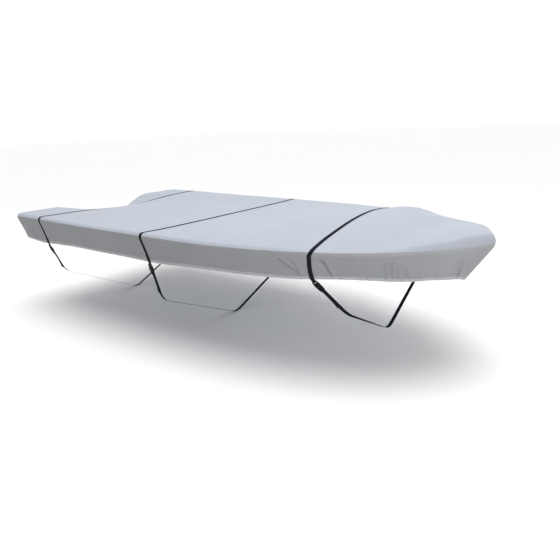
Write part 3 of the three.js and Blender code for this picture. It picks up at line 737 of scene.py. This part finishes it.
corner_angles = np.linspace(math.pi / 4, math.pi / 2, CORNER_STEPS + 1)
edge_radius = float(SECTIONS.read(TRANSOM_X, "roll_radius"))
corner_y = MAX_HALF_BEAM - CORNER_RADIUS + (CORNER_RADIUS - edge_radius) * np.cos(corner_angles[1:])
corner_columns = corner_y[::-1] / (MAX_HALF_BEAM - edge_radius)
inner_columns = np.linspace(0, corner_columns[0], INNER_STEPS + 1)[1:-1]
half_columns = np.concatenate([inner_columns, corner_columns, [1.0]])
COLUMNS = np.concatenate([-half_columns[::-1], [0.0], half_columns])
EVEN_COLUMNS = np.linspace(-1, 1, len(COLUMNS))


def side_run(side):
    corner = corner_places(np.linspace(math.pi / 4, 0, CORNER_STEPS + 1)[:-1], side)
    return joined(corner, side_places(SIDE_STATIONS, side))


starboard, port = side_run(-1), side_run(1)
nose = nose_places(EVEN_COLUMNS[1:-1] * NOSE_HALF_WIDTH)
straight = (MAX_HALF_BEAM - CORNER_RADIUS) / corner_columns[0]
transom = joined(corner_places(corner_angles[1:], -1),
                 transom_places(COLUMNS[CORNER_STEPS + 1:-CORNER_STEPS - 1] * straight),
                 corner_places(corner_angles[1:][::-1], 1))
print(len(starboard.x), "stations on a side,", len(COLUMNS), "points in a row")


# %% The top panel
def take(places, rows):
    return Named({name: value[rows] for name, value in places.items()})


def flipped(places):
    return take(places, slice(None, None, -1))


def one_row(*groups):
    row = joined(*groups)
    return roll_points(row, row.start[:, None])[:, 0]


def build_top():
    count, columns = len(starboard.x), len(COLUMNS)
    share = smooth_step((starboard.x - EVEN_FROM) / (NOSE_X - EVEN_FROM))[:, None]
    fractions = COLUMNS + (EVEN_COLUMNS - COLUMNS) * share
    rows = top_points(starboard, fractions)
    rows[0] = one_row(take(starboard, slice(0, 1)), transom, take(port, slice(0, 1)))
    rows[-1] = one_row(take(starboard, slice(-1, None)), nose, take(port, slice(-1, None)))
    points = [rows.reshape(-1, 3)]
    quads = [quad_corners(count, columns)]
    ring = joined(starboard, nose, flipped(port), flipped(transom))
    size = len(ring.x)
    first_row, left = np.arange(1, columns - 1), np.arange(count) * columns
    last_row, right = (count - 1) * columns + first_row, left + columns - 1
    previous = np.concatenate([left, last_row, right[::-1], first_row[::-1]])
    lap = SEAM_LAP / ring.roll_radius
    total = count * columns
    painted_light = [np.zeros(total)]
    # Painted light of each ring row: the painted highlight at the seam's edge, and round the bow
    # painted shade down the roll.
    bow = smooth_step((ring.x - PAINTED_SHADE_START) / PAINTED_SHADE_FADE)
    for step, (level, painted_light_share) in enumerate(zip(RING_SHARES, RING_PAINTED_HIGHLIGHT), 1):
        angle = ring.start + (ring.middle - ring.start) * level
        if step == len(RING_SHARES):
            angle = angle - lap
        points.append(roll_points(ring, angle[:, None], LAP_LIFT * level)[:, 0])
        painted_shade_level = smooth_step((level - 0.1) / 0.6)
        painted_light.append(painted_light_share * (1 - bow) - PAINTED_SHADE_SHARE * painted_shade_level * bow)
        current = total + np.arange(size)
        ring_of_quads = [previous, current, np.roll(current, -1), np.roll(previous, -1)]
        quads.append(np.stack(ring_of_quads, axis=1))
        previous, total = current, total + size
    return np.concatenate(points), np.concatenate(quads), np.concatenate(painted_light), ring


top_surface, top_quads, top_painted_light, rim_ring = build_top()
top_uv = top_surface[:, :2].copy()
top_uv[:, 1] -= np.sign(top_uv[:, 1]) * 0.8 * np.minimum(top_surface[:, 2] - 10, 0)
top = cloth_piece("cover_top", top_surface, top_quads, CLOTH_HALF, top_uv, top_cloth, top_painted_light)
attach(top, "root")
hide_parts("top_panel")

# %% [markdown]
# ## The skirts
#
# A skirt goes on from the seam, down round the roll and over the side to the hem. There are three:
# one along each side, joined at the stem, and one across the transom. The upper edge is tucked
# behind the lap of the top. The hem is the cloth's own edge, turned up twice and stitched, so it
# is thicker and rounder, with a row of stitches near its upper fold.

# %% Skirts
HEM_DEPTH, HEM_HALF, ROLL_STEPS, FALL_STEPS = 24.0, 1.7, 10, 24
HEM_SHARES = np.array([0.06, 0.14, 0.3, 0.5, 0.7, 0.88, 0.97, 1.0])
HEM_PROFILE = np.array([0.55, 0.95, 1.0, 1.0, 1.15, 1.3, 1.1, 0.6])
# The hem rows are painted paler, for the light that the floor throws up onto the hem: painted light.
HEM_PAINTED_LIGHT = [0.3, 0.5, 0.55, 0.5, 0.55, 0.75, 0.9, 0.9]


def distance_along(points):
    return np.concatenate([[0.0], np.cumsum(np.linalg.norm(np.diff(points, axis=0), axis=1))])


def build_skirt(places):
    rim = distance_along(np.stack([places.x, places.y], axis=1))
    reach = skirt_length(places)
    tuck = SEAM_TUCK / places.roll_radius
    angle = np.linspace(places.middle + tuck, places.end, ROLL_STEPS).T
    roll = roll_points(places, angle)
    plain = (reach - HEM_DEPTH)[:, None]
    fall = np.linspace(0, 1, FALL_STEPS + 1)[1:] * plain
    length = np.concatenate([fall, plain + HEM_DEPTH * HEM_SHARES], axis=1)
    below = skirt_points(places, length, along_rim=rim)
    edge, down_roll = np.zeros((len(rim), 1)), np.linspace(0, 1, ROLL_STEPS)
    settled = skirt_points(places, edge, along_rim=rim) - skirt_points(places, edge)
    grid = np.concatenate([roll + settled * smooth_step(down_roll)[None, :, None], below], axis=1)
    thickness = np.full(grid.shape[1], CLOTH_HALF)
    thickness[-len(HEM_PROFILE):] = HEM_HALF * HEM_PROFILE
    down = np.stack([distance_along(line) for line in grid])
    uv = np.stack([np.broadcast_to(rim[:, None], down.shape), -down], axis=2)
    quads = quad_corners(*grid.shape[:2])[:, ::-1]
    # Painted light: paler on the skirt just below the seam, for the light from above, fading down the
    # roll, and paler again on the hem.
    painted_light = np.concatenate([0.4 * (1 - down_roll) ** 1.3, np.zeros(FALL_STEPS), HEM_PAINTED_LIGHT])
    return grid, quads, np.tile(thickness, len(rim)), uv, np.tile(painted_light, len(rim))


def shifted_ends(places, gap=0.5):
    """Neighbouring skirts keep a hair's breadth apart where they are sewn together."""
    moved = Named({name: value.copy() for name, value in places.items()})
    for end, inner in ((0, 1), (-1, -2)):
        apart = np.array([places[axis][inner] - places[axis][end] for axis in "xy"])
        apart *= gap / 2 / np.linalg.norm(apart)
        moved.x[end] += apart[0]
        moved.y[end] += apart[1]
    return moved


half_nose = len(nose.x) // 2
skirt_runs = {
    "starboard": shifted_ends(joined(starboard, take(nose, slice(0, half_nose + 1)))),
    "port": shifted_ends(joined(take(nose, slice(half_nose, None)), flipped(port))),
    "transom": shifted_ends(joined(take(port, [0]), flipped(transom), take(starboard, [0]))),
}
skirt_grids = {}
for name, places in skirt_runs.items():
    skirt_grid, quads, half, uv, painted_light = build_skirt(places)
    skirt = cloth_piece(f"cover_skirt_{name}", skirt_grid.reshape(-1, 3), quads, half,
                        uv.reshape(-1, 2), skirt_cloth, painted_light)
    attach(skirt, "root")
    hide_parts(f"skirt_{name}")
    skirt_grids[name] = skirt_grid

# %% [markdown]
# ## Stitching
#
# The seam has two rows of stitches just above the lapped edge, and the hem has one row above its
# fold. Each stitch is a short plump thread that dips into the cloth at both ends. One stitch is
# eight triangles, so ten metres of seam stay light. The rows are spaced out evenly by distance,
# because a machine feeds the cloth at one speed whatever its curve.

# %% Thread
def thread_finish(name, dark, light):
    thread = Finish(name, {"Sheen Weight": 0.2})
    fuzz = thread.noise(thread.place["Object"], 900.0, 2.0)
    color = thread.ramp(fuzz, (0.3, dark), (0.7, light))
    return thread.done(color, 0.6, thread.bump(fuzz, 0.0002, 0.5))


grey_thread = thread_finish("grey_thread", (0.36, 0.37, 0.39), (0.50, 0.51, 0.54))
black_thread = thread_finish("black_thread", (0.020, 0.021, 0.024), (0.045, 0.046, 0.050))


# %% Rows of stitches
def evenly(points, outward, pitch):
    """Points, headings and outward directions at an even pitch along a line."""
    along = distance_along(points)
    marks = np.arange(pitch / 2, along[-1], pitch)

    def read(values, at):
        return np.stack([np.interp(at, along, column) for column in values.T], axis=1)

    place = read(points, marks)
    return place, unit(read(points, marks + 0.5) - place), unit(read(outward, marks))


def stitch_row(points, outward, pitch=4.5, length=3.7, width=0.75):
    """Stitches along a line, each of eight triangles, dipping into the cloth at its ends."""
    place, ahead, out = evenly(points, outward, pitch)
    side = np.cross(out, ahead)
    half, thick = length / 2, width / 2
    spots = [place - ahead * half - out * 0.25, place + ahead * half - out * 0.25,
             place + side * thick, place - side * thick, place + out * 0.32, place - out * 0.35]
    corners = np.stack(spots, axis=1).reshape(-1, 3)
    faces = [(1, 2, 4), (2, 0, 4), (0, 3, 4), (3, 1, 4), (2, 1, 5), (0, 2, 5), (3, 0, 5), (1, 3, 5)]
    triangles = (np.arange(len(place))[:, None, None] * 6 + np.array(faces)).reshape(-1, 3)
    return corners, triangles


def stitched_piece(name, rows, material):
    triangles, total = [], 0
    for row_corners, row_triangles in rows:
        triangles.append(row_triangles + total)
        total += len(row_corners)
    points = np.concatenate([row_corners for row_corners, _ in rows])
    piece = make_piece(name, points, np.concatenate(triangles), points[:, :2], material, 80.0)
    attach(piece, "root")
    print(name, "has", total // 6, "stitches")
    return piece


def facing(places, angle):
    level = places.outward * np.cos(angle)[:, None]
    return np.concatenate([level, np.sin(angle)[:, None]], axis=1)


def closed(values):
    return np.concatenate([values, values[:1]])


seam_rows = []
for above in (1.6, 6.4):
    angle = rim_ring.middle + (above - SEAM_LAP) / rim_ring.roll_radius
    line = roll_points(rim_ring, angle[:, None], LAP_LIFT + CLOTH_HALF + 0.05)[:, 0]
    seam_rows.append(stitch_row(closed(line), closed(facing(rim_ring, angle))))
stitched_piece("seam_stitching", seam_rows, grey_thread)

HEM_ROW, HEM_ROW_COLUMN, JOIN_INSET = 0.95, -7, 4.0
hem_rows, join_rows = [], []
for name, grid in skirt_grids.items():
    outward = facing(skirt_runs[name], skirt_runs[name].end)
    line = grid[:, HEM_ROW_COLUMN] + outward * (HEM_HALF * HEM_ROW + 0.05)
    hem_rows.append(stitch_row(line, outward))
    for end, inner in ((0, 1), (-1, -2)):
        at_end, beside = grid[end, ROLL_STEPS:HEM_ROW_COLUMN], grid[inner, ROLL_STEPS:HEM_ROW_COLUMN]
        line = at_end + unit(beside - at_end) * JOIN_INSET + outward[end] * (CLOTH_HALF + 0.1)
        join_rows.append(stitch_row(line, np.broadcast_to(outward[end], line.shape)))
stitched_piece("hem_stitching", hem_rows, grey_thread)
stitched_piece("join_stitching", join_rows, grey_thread)

# %% [markdown]
# ## Webbing
#
# Flat 25 mm polypropylene webbing is woven in a herringbone, with a firm selvedge along each side.
# Each strap is one length. It starts folded round the tongue's bar and sewn to itself, goes up and
# over the cover, down the port side, under the keel, and up to the adjuster, where the free end
# hangs down as a tail.
#
# The path is worked out as the two edges of the webbing. On the cloth both edges are laid with the
# cloth's own rules, so the strap leans and curves as the cloth does. Between the hem and the keel
# it is a straight run, which is how tight webbing hangs.

# %% The finish of the webbing
def webbing_finish():
    web = Finish("webbing", {"Specular IOR Level": 0.06})
    split = web.node("SeparateXYZ", {0: web.place["UV"]}).node.outputs
    zigzag = web.math("PINGPONG", split["X"], 0.0025)
    rib = web.ribs(web.math("ADD", split["Y"], zigzag), 0.0013)
    # The grooves between the ribs are darker: painted shade in the grooves.
    color = web.ramp(rib, (0.0, (0.003, 0.0035, 0.005)), (0.8, (0.010, 0.011, 0.016)))
    wear_and_painted_light = web.noise(web.place["Object"], 30.0)
    return web.done(color, web.math("MULTIPLY_ADD", wear_and_painted_light, 0.25, 0.6), web.bump(rib, 0.0004, 0.7))


webbing = webbing_finish()

# %% Sizes of the webbing and the buckle
WEB_HALF, WEB_GAP = 0.7, 0.3
WEB_LIFT = CLOTH_HALF + WEB_GAP + WEB_HALF
BUCKLE_DROP, LAYER_PITCH, HEM_LIFT = 8.0, 2.1, 4.0
BAR_LENGTH, PLATE_THICKNESS = 4.4, 4.4
TURN_RADIUS = math.hypot(BAR_LENGTH, PLATE_THICKNESS) / 2 + 0.5 + 0.8
TONGUE_PLATE = Named(top=9, slot_top=13.4, slot_end=20, end=26)
PRONG = Named(inner=9.5, outer=14.4, catch=17.6, catch_top=44, catch_end=49, end=53)
SLEEVE = Named(top=27, end=57, half_height=6, corner=4, cap=4,
               cavity_half_width=15.2, cavity_half_height=2.8)
LADDER = Named(top=60, slot_end=67, bar_end=71.4, second_slot_end=77, end=82)
TONGUE_BAR = TONGUE_PLATE.top + BAR_LENGTH / 2
ADJUSTER_BAR = LADDER.slot_end + BAR_LENGTH / 2
STRAIGHT_END = LADDER.end + 30
BUCKLE_HALF_WIDTH, SLOT_HALF_WIDTH = 19.0, 13.6
SEWN_LENGTH, TAIL_LENGTH, TAIL_LIFT, CHINE_ROUNDING = 58.0, 165.0, 9.0, 60.0
EDGES = (-STRAP_WIDTH / 2, STRAP_WIDTH / 2)


# %% The strap on the cloth
def strap_places(strap, side, share, shift):
    """Places under an edge of the webbing. It leans and bows a little on the near skirt."""
    share = np.atleast_1d(share)
    if side < 0:
        sway = strap.lean * (1 - share) + strap.bow * (1 - share**3)
        return side_places(strap.near + sway + shift + strap.slant * share, side)
    return side_places(strap.far + shift + strap.slant * share, side)


def cloth_lift(length, reach):
    """Clear of the skirt, and of the thicker hem."""
    hem = smooth_step((length - reach + HEM_DEPTH + 6) / 8)
    return WEB_LIFT + (HEM_LIFT - WEB_LIFT) * hem


def skirt_pairs(strap, side, extra=0.0, from_end=None):
    reach = float(skirt_length(strap_places(strap, side, 1.0, 0.0))[0])
    over_hem = np.linspace(reach - HEM_DEPTH - 8, reach, 9)
    length = np.unique(np.append(np.arange(0, reach - HEM_DEPTH, 8.0), over_hem))
    if from_end is not None:
        length = length[length > reach - from_end]
    lift = cloth_lift(length, reach) + extra
    length, lift, share = length[:, None], lift[:, None], length / reach
    edges = [skirt_points(strap_places(strap, side, share, shift), length, lift) for shift in EDGES]
    return np.concatenate(edges, axis=1)


def roll_pairs(strap, side):
    edges = []
    turned = np.linspace(0, 1, 27)[:-1]
    for shift in EDGES:
        bowed = strap.bow * (smooth_step(turned) - 1) if side < 0 else 0 * turned
        place = strap_places(strap, side, 0 * turned, shift + bowed)
        angle = place.start + (place.end - place.start) * turned
        lapped = smooth_step((place.start - angle) / (place.start - place.middle))
        past = smooth_step((place.middle - angle) * place.roll_radius / 14 - 5 / 14)
        lift = WEB_LIFT + LAP_LIFT * lapped * (1 - past) + 0.3 * np.sin(np.pi * lapped)
        edges.append(roll_points(place, angle[:, None], lift[:, None])[:, 0])
    return np.stack(edges, axis=1)


def top_pairs(strap, steps=190):
    fraction = np.linspace(-1, 1, steps)[1:-1]
    centre = strap_x(strap, (fraction + 1) / 2)
    edges = [top_points(side_places(centre + shift, 1), fraction[:, None], WEB_LIFT) for shift in EDGES]
    return np.concatenate(edges, axis=1)


# %% The run below the hem
def run_frame(strap):
    """Origin just below the starboard hem, and the directions across the strap, down it and out."""
    reach = float(skirt_length(strap_places(strap, -1, 1.0, 0.0))[0])
    hem = [skirt_points(strap_places(strap, -1, 1.0, shift), np.array([[reach]]), HEM_LIFT)[0, 0]
           for shift in EDGES]
    chine = np.array(strap.chine, float) * (1, -1, 1)
    down = unit(chine - (hem[0] + hem[1]) / 2)
    across = hem[0] - hem[1]
    across = unit(across - down * (across @ down))
    return Named(origin=(hem[0] + hem[1]) / 2 + down * BUCKLE_DROP, across=across, down=down,
                 out=np.cross(across, down), chine=chine)


def run_pairs(run, distances, aways):
    centre = run.origin + np.outer(distances, run.down) + np.outer(aways, run.out)
    to_edge = run.across * STRAP_WIDTH / 2
    return np.stack([centre + to_edge, centre - to_edge], axis=1)


def turn_pairs(run, centre, first, last, steps=17):
    angle = np.linspace(first, last, steps)
    return run_pairs(run, centre + TURN_RADIUS * np.sin(angle), TURN_RADIUS * (1 - np.cos(angle)))


def smooth_line(knots, steps):
    """A smooth curve through a few knots, for webbing that hangs free."""
    knots = np.array(knots, float)
    padded = np.concatenate([2 * knots[:1] - knots[1:2], knots, 2 * knots[-1:] - knots[-2:-1]])
    curve = []
    for k in range(len(knots) - 1):
        t = np.linspace(0, 1, steps, endpoint=False)[:, None]
        a, b, c, d = padded[k:k + 4]
        bend, twist = 2 * a - 5 * b + 4 * c - d, 3 * b - a - 3 * c + d
        curve.append(0.5 * (2 * b + (c - a) * t + bend * t**2 + twist * t**3))
    return np.concatenate([*curve, knots[-1:]])


def hull_pairs(strap, run):
    port_hem = skirt_pairs(strap, 1)[-1].mean(axis=0)
    chine_x, *chine_side = strap.chine
    far_chine = np.array([chine_x + strap.far - strap.near, *chine_side], float)
    keel = np.array([strap.keel[0], 0.0, strap.keel[1]])
    adjuster = run.origin + run.down * STRAIGHT_END
    corners = [port_hem, far_chine, keel, run.chine, adjuster]
    line = [port_hem[None]]
    for before, corner, after in zip(corners, corners[1:], corners[2:]):
        rounding = min(CHINE_ROUNDING, np.linalg.norm(corner - before) / 2)
        start = corner + unit(before - corner) * rounding
        end = corner + unit(after - corner) * rounding
        t = np.linspace(0, 1, 12)[:, None]
        line.append(line[-1][-1] + (start - line[-1][-1]) * np.linspace(0, 1, 14)[1:-1, None])
        line.append(start * (1 - t)**2 + corner * 2 * t * (1 - t) + end * t**2)
    line.append(line[-1][-1] + (adjuster - line[-1][-1]) * np.linspace(0, 1, 8)[1:, None])
    line = np.concatenate(line)
    ahead = unit(np.gradient(line, axis=0))
    share = np.clip(-line[:, 1] / strap.chine[1], 0, 1)[:, None]
    across = np.array([1.0, 0, 0]) * (1 - share) - run.across * share
    across -= ahead * np.sum(ahead * across, axis=1, keepdims=True)
    across = unit(across) * STRAP_WIDTH / 2
    return np.stack([line - across, line + across], axis=1)[1:-1]


# %% Lay the straps
def strap_line(strap, run):
    sewn = skirt_pairs(strap, -1, LAYER_PITCH, SEWN_LENGTH)
    tail_knots = [(3, 2 * TURN_RADIUS), (12, 2 * TURN_RADIUS), (34, LAYER_PITCH + 1),
                  (0.6 * TAIL_LENGTH, LAYER_PITCH + 1.2), (0.8 * TAIL_LENGTH, LAYER_PITCH + 3.4),
                  (TAIL_LENGTH, TAIL_LIFT)]
    tail = smooth_line(tail_knots, 10) + (ADJUSTER_BAR, 0)
    return np.concatenate([
        sewn,
        run_pairs(run, [0.0], [LAYER_PITCH]),
        turn_pairs(run, TONGUE_BAR, math.pi, 0),
        run_pairs(run, [0.0], [0.0]),
        skirt_pairs(strap, -1)[::-1],
        roll_pairs(strap, -1)[::-1],
        top_pairs(strap),
        roll_pairs(strap, 1),
        skirt_pairs(strap, 1),
        hull_pairs(strap, run),
        run_pairs(run, [STRAIGHT_END], [0.0]),
        turn_pairs(run, ADJUSTER_BAR, 0, -math.pi),
        run_pairs(run, tail[1:, 0], tail[1:, 1]),
    ])


WEB_PROFILE = np.array([0.45, 0.9, 1.0, 1.0, 1.0, 1.0, 1.0, 0.9, 0.45])
WEB_SHARES = np.array([0.0, 0.025, 0.07, 0.27, 0.5, 0.73, 0.93, 0.975, 1.0])
BOX_EDGES, BOX_CROSSES = (0.12, 0.88), ((0, 0), (4, 4), (0, 4))
BOX_STITCH = dict(pitch=2.8, length=2.3, width=0.6)
runs, strap_stitches = {}, []
for name, strap in STRAPS.items():
    run = runs[name] = run_frame(strap)
    pairs = strap_line(strap, run)
    grid = pairs[:, :1] + (pairs[:, 1:] - pairs[:, :1]) * WEB_SHARES[None, :, None]
    along = distance_along(pairs.mean(axis=1))
    uv = np.stack(np.broadcast_arrays(WEB_SHARES * STRAP_WIDTH, along[:, None]), axis=2)
    quads = quad_corners(*grid.shape[:2])
    half = np.tile(WEB_PROFILE * WEB_HALF, len(pairs))
    piece = cloth_piece(f"webbing_{name}", grid.reshape(-1, 3), quads, half, uv.reshape(-1, 2), webbing)
    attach(piece, "root")
    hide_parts(f"strap_{name}")
    sewn = skirt_pairs(strap, -1, LAYER_PITCH + WEB_HALF + 0.05, SEWN_LENGTH)
    face = np.cross(sewn[:, 1] - sewn[:, 0], np.gradient(sewn.mean(axis=1), axis=0))
    face = face * np.sign(face[:, 1:2]) * -1
    left, right = (sewn[:, 0] + (sewn[:, 1] - sewn[:, 0]) * share for share in BOX_EDGES)
    lines = [(left, face), (right, face)]
    for first, last in BOX_CROSSES:
        lines.append((np.stack([left[first], right[last]]), face[[first, last]]))
    strap_stitches += [stitch_row(line, outward, **BOX_STITCH) for line, outward in lines]
    print("strap", name, "is", round(along[-1] / 1000, 2), "m long, origin", run.origin.round(1))
stitched_piece("strap_stitching", strap_stitches, black_thread)

# %% [markdown]
# ## Side-release buckles
#
# Each strap closes with a moulded buckle. The tongue half is a barred plate with a centre guide and
# two sprung prongs. Their catches show in the windows at the sides of the socket half, which is a
# sleeve with a two-barred adjuster below it. Squeezing the catches frees the tongue.
#
# The halves are drawn as flat outlines and given a thickness with a small bevel, because moulded
# parts have no knife edges and a thin bright line along the bevel is what makes them look moulded.

# %% The finish of the buckles
def plastic_finish():
    plastic = Finish("buckle_plastic", {"Specular IOR Level": 0.1})
    spot = plastic.place["Object"]
    scuffs = plastic.noise(spot, 160.0, 5.0, 0.65)
    color = plastic.ramp(scuffs, (0.35, (0.004, 0.004, 0.0045)), (0.75, (0.011, 0.011, 0.012)))
    rough = plastic.math("MULTIPLY_ADD", scuffs, 0.3, 0.34)
    return plastic.done(color, rough, plastic.bump(plastic.noise(spot, 2200.0, 2.0), 0.00008, 0.5))


buckle_plastic = plastic_finish()


# %% Outlines and plates
def rounded(half_width, low, high, radius, steps=5):
    points = []
    side, bottom, top = half_width - radius, low + radius, high - radius
    centres = [(side, bottom, -90), (side, top, 0), (-side, top, 90), (-side, bottom, 180)]
    for x, y, turn in centres:
        for angle in np.radians(turn + np.linspace(0, 90, steps + 1)):
            points.append((x + radius * math.cos(angle), y + radius * math.sin(angle)))
    return points


def welded(mesh):
    shape = bmesh.new()
    shape.from_mesh(mesh)
    bmesh.ops.remove_doubles(shape, verts=shape.verts, dist=0.01)
    bmesh.ops.dissolve_degenerate(shape, edges=shape.edges, dist=0.005)
    bmesh.ops.recalc_face_normals(shape, faces=shape.faces)
    shape.to_mesh(mesh)
    shape.free()
    return mesh


def mesh_of(item):
    """The mesh of an object, with its curve settings or modifiers applied."""
    return bpy.data.meshes.new_from_object(item.evaluated_get(bpy.context.evaluated_depsgraph_get()))


def plate(outlines, thickness, bevel=0.5):
    """A bevelled plate in millimetres, from an outline and its holes, as a mesh centred on z = 0."""
    curve = bpy.data.curves.new("outline", "CURVE")
    curve.dimensions, curve.fill_mode = "2D", "BOTH"
    for outline in outlines:
        spline = curve.splines.new("POLY")
        spline.points.add(len(outline) - 1)
        spline.use_cyclic_u = True
        for point, (x, y) in zip(spline.points, outline):
            point.co = (x, y, 0.0, 1.0)
    curve.extrude, curve.offset = thickness / 2 - bevel, -bevel
    curve.bevel_depth, curve.bevel_resolution = bevel, 2
    drawn = add_object("outline", curve)
    mesh = mesh_of(drawn)
    bpy.data.objects.remove(drawn)
    return welded(mesh)


def as_object(mesh, transform=None):
    if transform is not None:
        mesh.transform(transform)
    return add_object("part", mesh)


def combined(base, others, operation):
    for other in others:
        cut = base.modifiers.new("cut", "BOOLEAN")
        cut.object, cut.operation, cut.solver = other, operation, "EXACT"
    mesh = mesh_of(base)
    for item in (base, *others):
        bpy.data.objects.remove(item)
    return welded(mesh)


# %% The two halves
def tongue_mesh():
    root, guide = TONGUE_PLATE.end, 3.5
    p = PRONG
    right = [(16.0, 9.0), (18.1, 9.9), (19.0, 12.0), (19.0, root - 1), (18.0, root),
             (p.outer, root + 1), (p.outer, p.catch_top), (p.catch, p.catch_top + 0.6),
             (p.catch, p.catch_end - 1), (p.inner + 4, p.end - 1), (p.inner + 1.6, p.end),
             (p.inner, p.end - 2), (p.inner, root + 3), (p.inner - 1, root + 2),
             (guide + 1, root + 2), (guide, root + 3), (guide, 47), (guide - 1, 48)]
    left = [(-x, y) for x, y in reversed(right)]
    outline = left[-1:] + right + left[:-1]
    hole = rounded(SLOT_HALF_WIDTH, TONGUE_PLATE.slot_top, TONGUE_PLATE.slot_end, 1.0)
    return plate([outline, hole], PLATE_THICKNESS)


def along_strap(first, last):
    """Turns a plate drawn across the strap to stand between two distances down it."""
    middle = (first + last) / 2
    return Matrix(((1, 0, 0, 0), (0, 0, -1, middle), (0, 1, 0, 0), (0, 0, 0, 1)))


def sleeve_part(outlines, first, last, bevel):
    return as_object(plate(outlines, last - first, bevel), along_strap(first, last))


def socket_mesh():
    s = SLEEVE
    outline = rounded(BUCKLE_HALF_WIDTH, -s.half_height, s.half_height, s.corner, 7)
    cavity = rounded(s.cavity_half_width, -s.cavity_half_height, s.cavity_half_height, 1.0)
    body = sleeve_part([outline], s.top, s.end + s.cap, 0.7)
    hollow = sleeve_part([cavity], s.top - 5, s.end, 0.05)
    window = as_object(plate([rounded(22, 42, 53, 2.0)], 2 * s.cavity_half_height, 0.05))
    grips = [as_object(plate([rounded(9.0, y, y + 1.3, 0.5)], 1.0, 0.2), Matrix.Translation((0, 0, z)))
             for y in (31.0, 34.0, 37.0) for z in (-6.2, 6.2)]
    outlines = [rounded(BUCKLE_HALF_WIDTH, LADDER.top - 2, LADDER.end, 3.0),
                rounded(SLOT_HALF_WIDTH, 61, LADDER.slot_end, 1.0),
                rounded(SLOT_HALF_WIDTH, LADDER.bar_end, LADDER.second_slot_end, 1.0)]
    ladder = as_object(plate(outlines, PLATE_THICKNESS))
    carved = as_object(combined(body, [hollow, window, *grips], "DIFFERENCE"))
    return combined(carved, [ladder], "UNION")


# %% Place the buckles
def place_buckle(name, node, mesh, run):
    axes = np.stack([run.across, run.down, run.out], axis=1)
    turn = Matrix([[*row, 0.0] for row in axes] + [[0, 0, 0, 1]])
    spot = Matrix.Translation(Vector((run.origin + run.out * TURN_RADIUS) * MM))
    mesh.transform(Matrix.Scale(MM, 4))
    mesh.transform(spot @ turn)
    mesh.materials.clear()
    mesh.materials.append(buckle_plastic)
    mesh.shade_smooth()
    mesh.set_sharp_from_angle(angle=math.radians(32))
    piece = add_object(name, mesh)
    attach(piece, "root")
    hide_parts(node)
    print(name, "has", len(mesh.polygons), "faces")


tongue, socket = tongue_mesh(), socket_mesh()
for name, run in runs.items():
    place_buckle(f"tongue_half_{name}", f"buckle_tongue_{name}", tongue.copy(), run)
    place_buckle(f"socket_half_{name}", f"buckle_socket_{name}", socket.copy(), run)
bpy.data.meshes.remove(tongue)
bpy.data.meshes.remove(socket)

# %% [markdown]
# ## Close the scene
#
# The box of the dressed cover is printed beside the box of the frame.

# %% Boxes and finish
scene_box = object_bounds()
sizes = {"frame": [list(map(float, corner)) for corner in frame_box],
         "scene": [list(map(float, corner)) for corner in scene_box]}
for name, box in sizes.items():
    print(name, "box", np.round(box, 3).tolist())
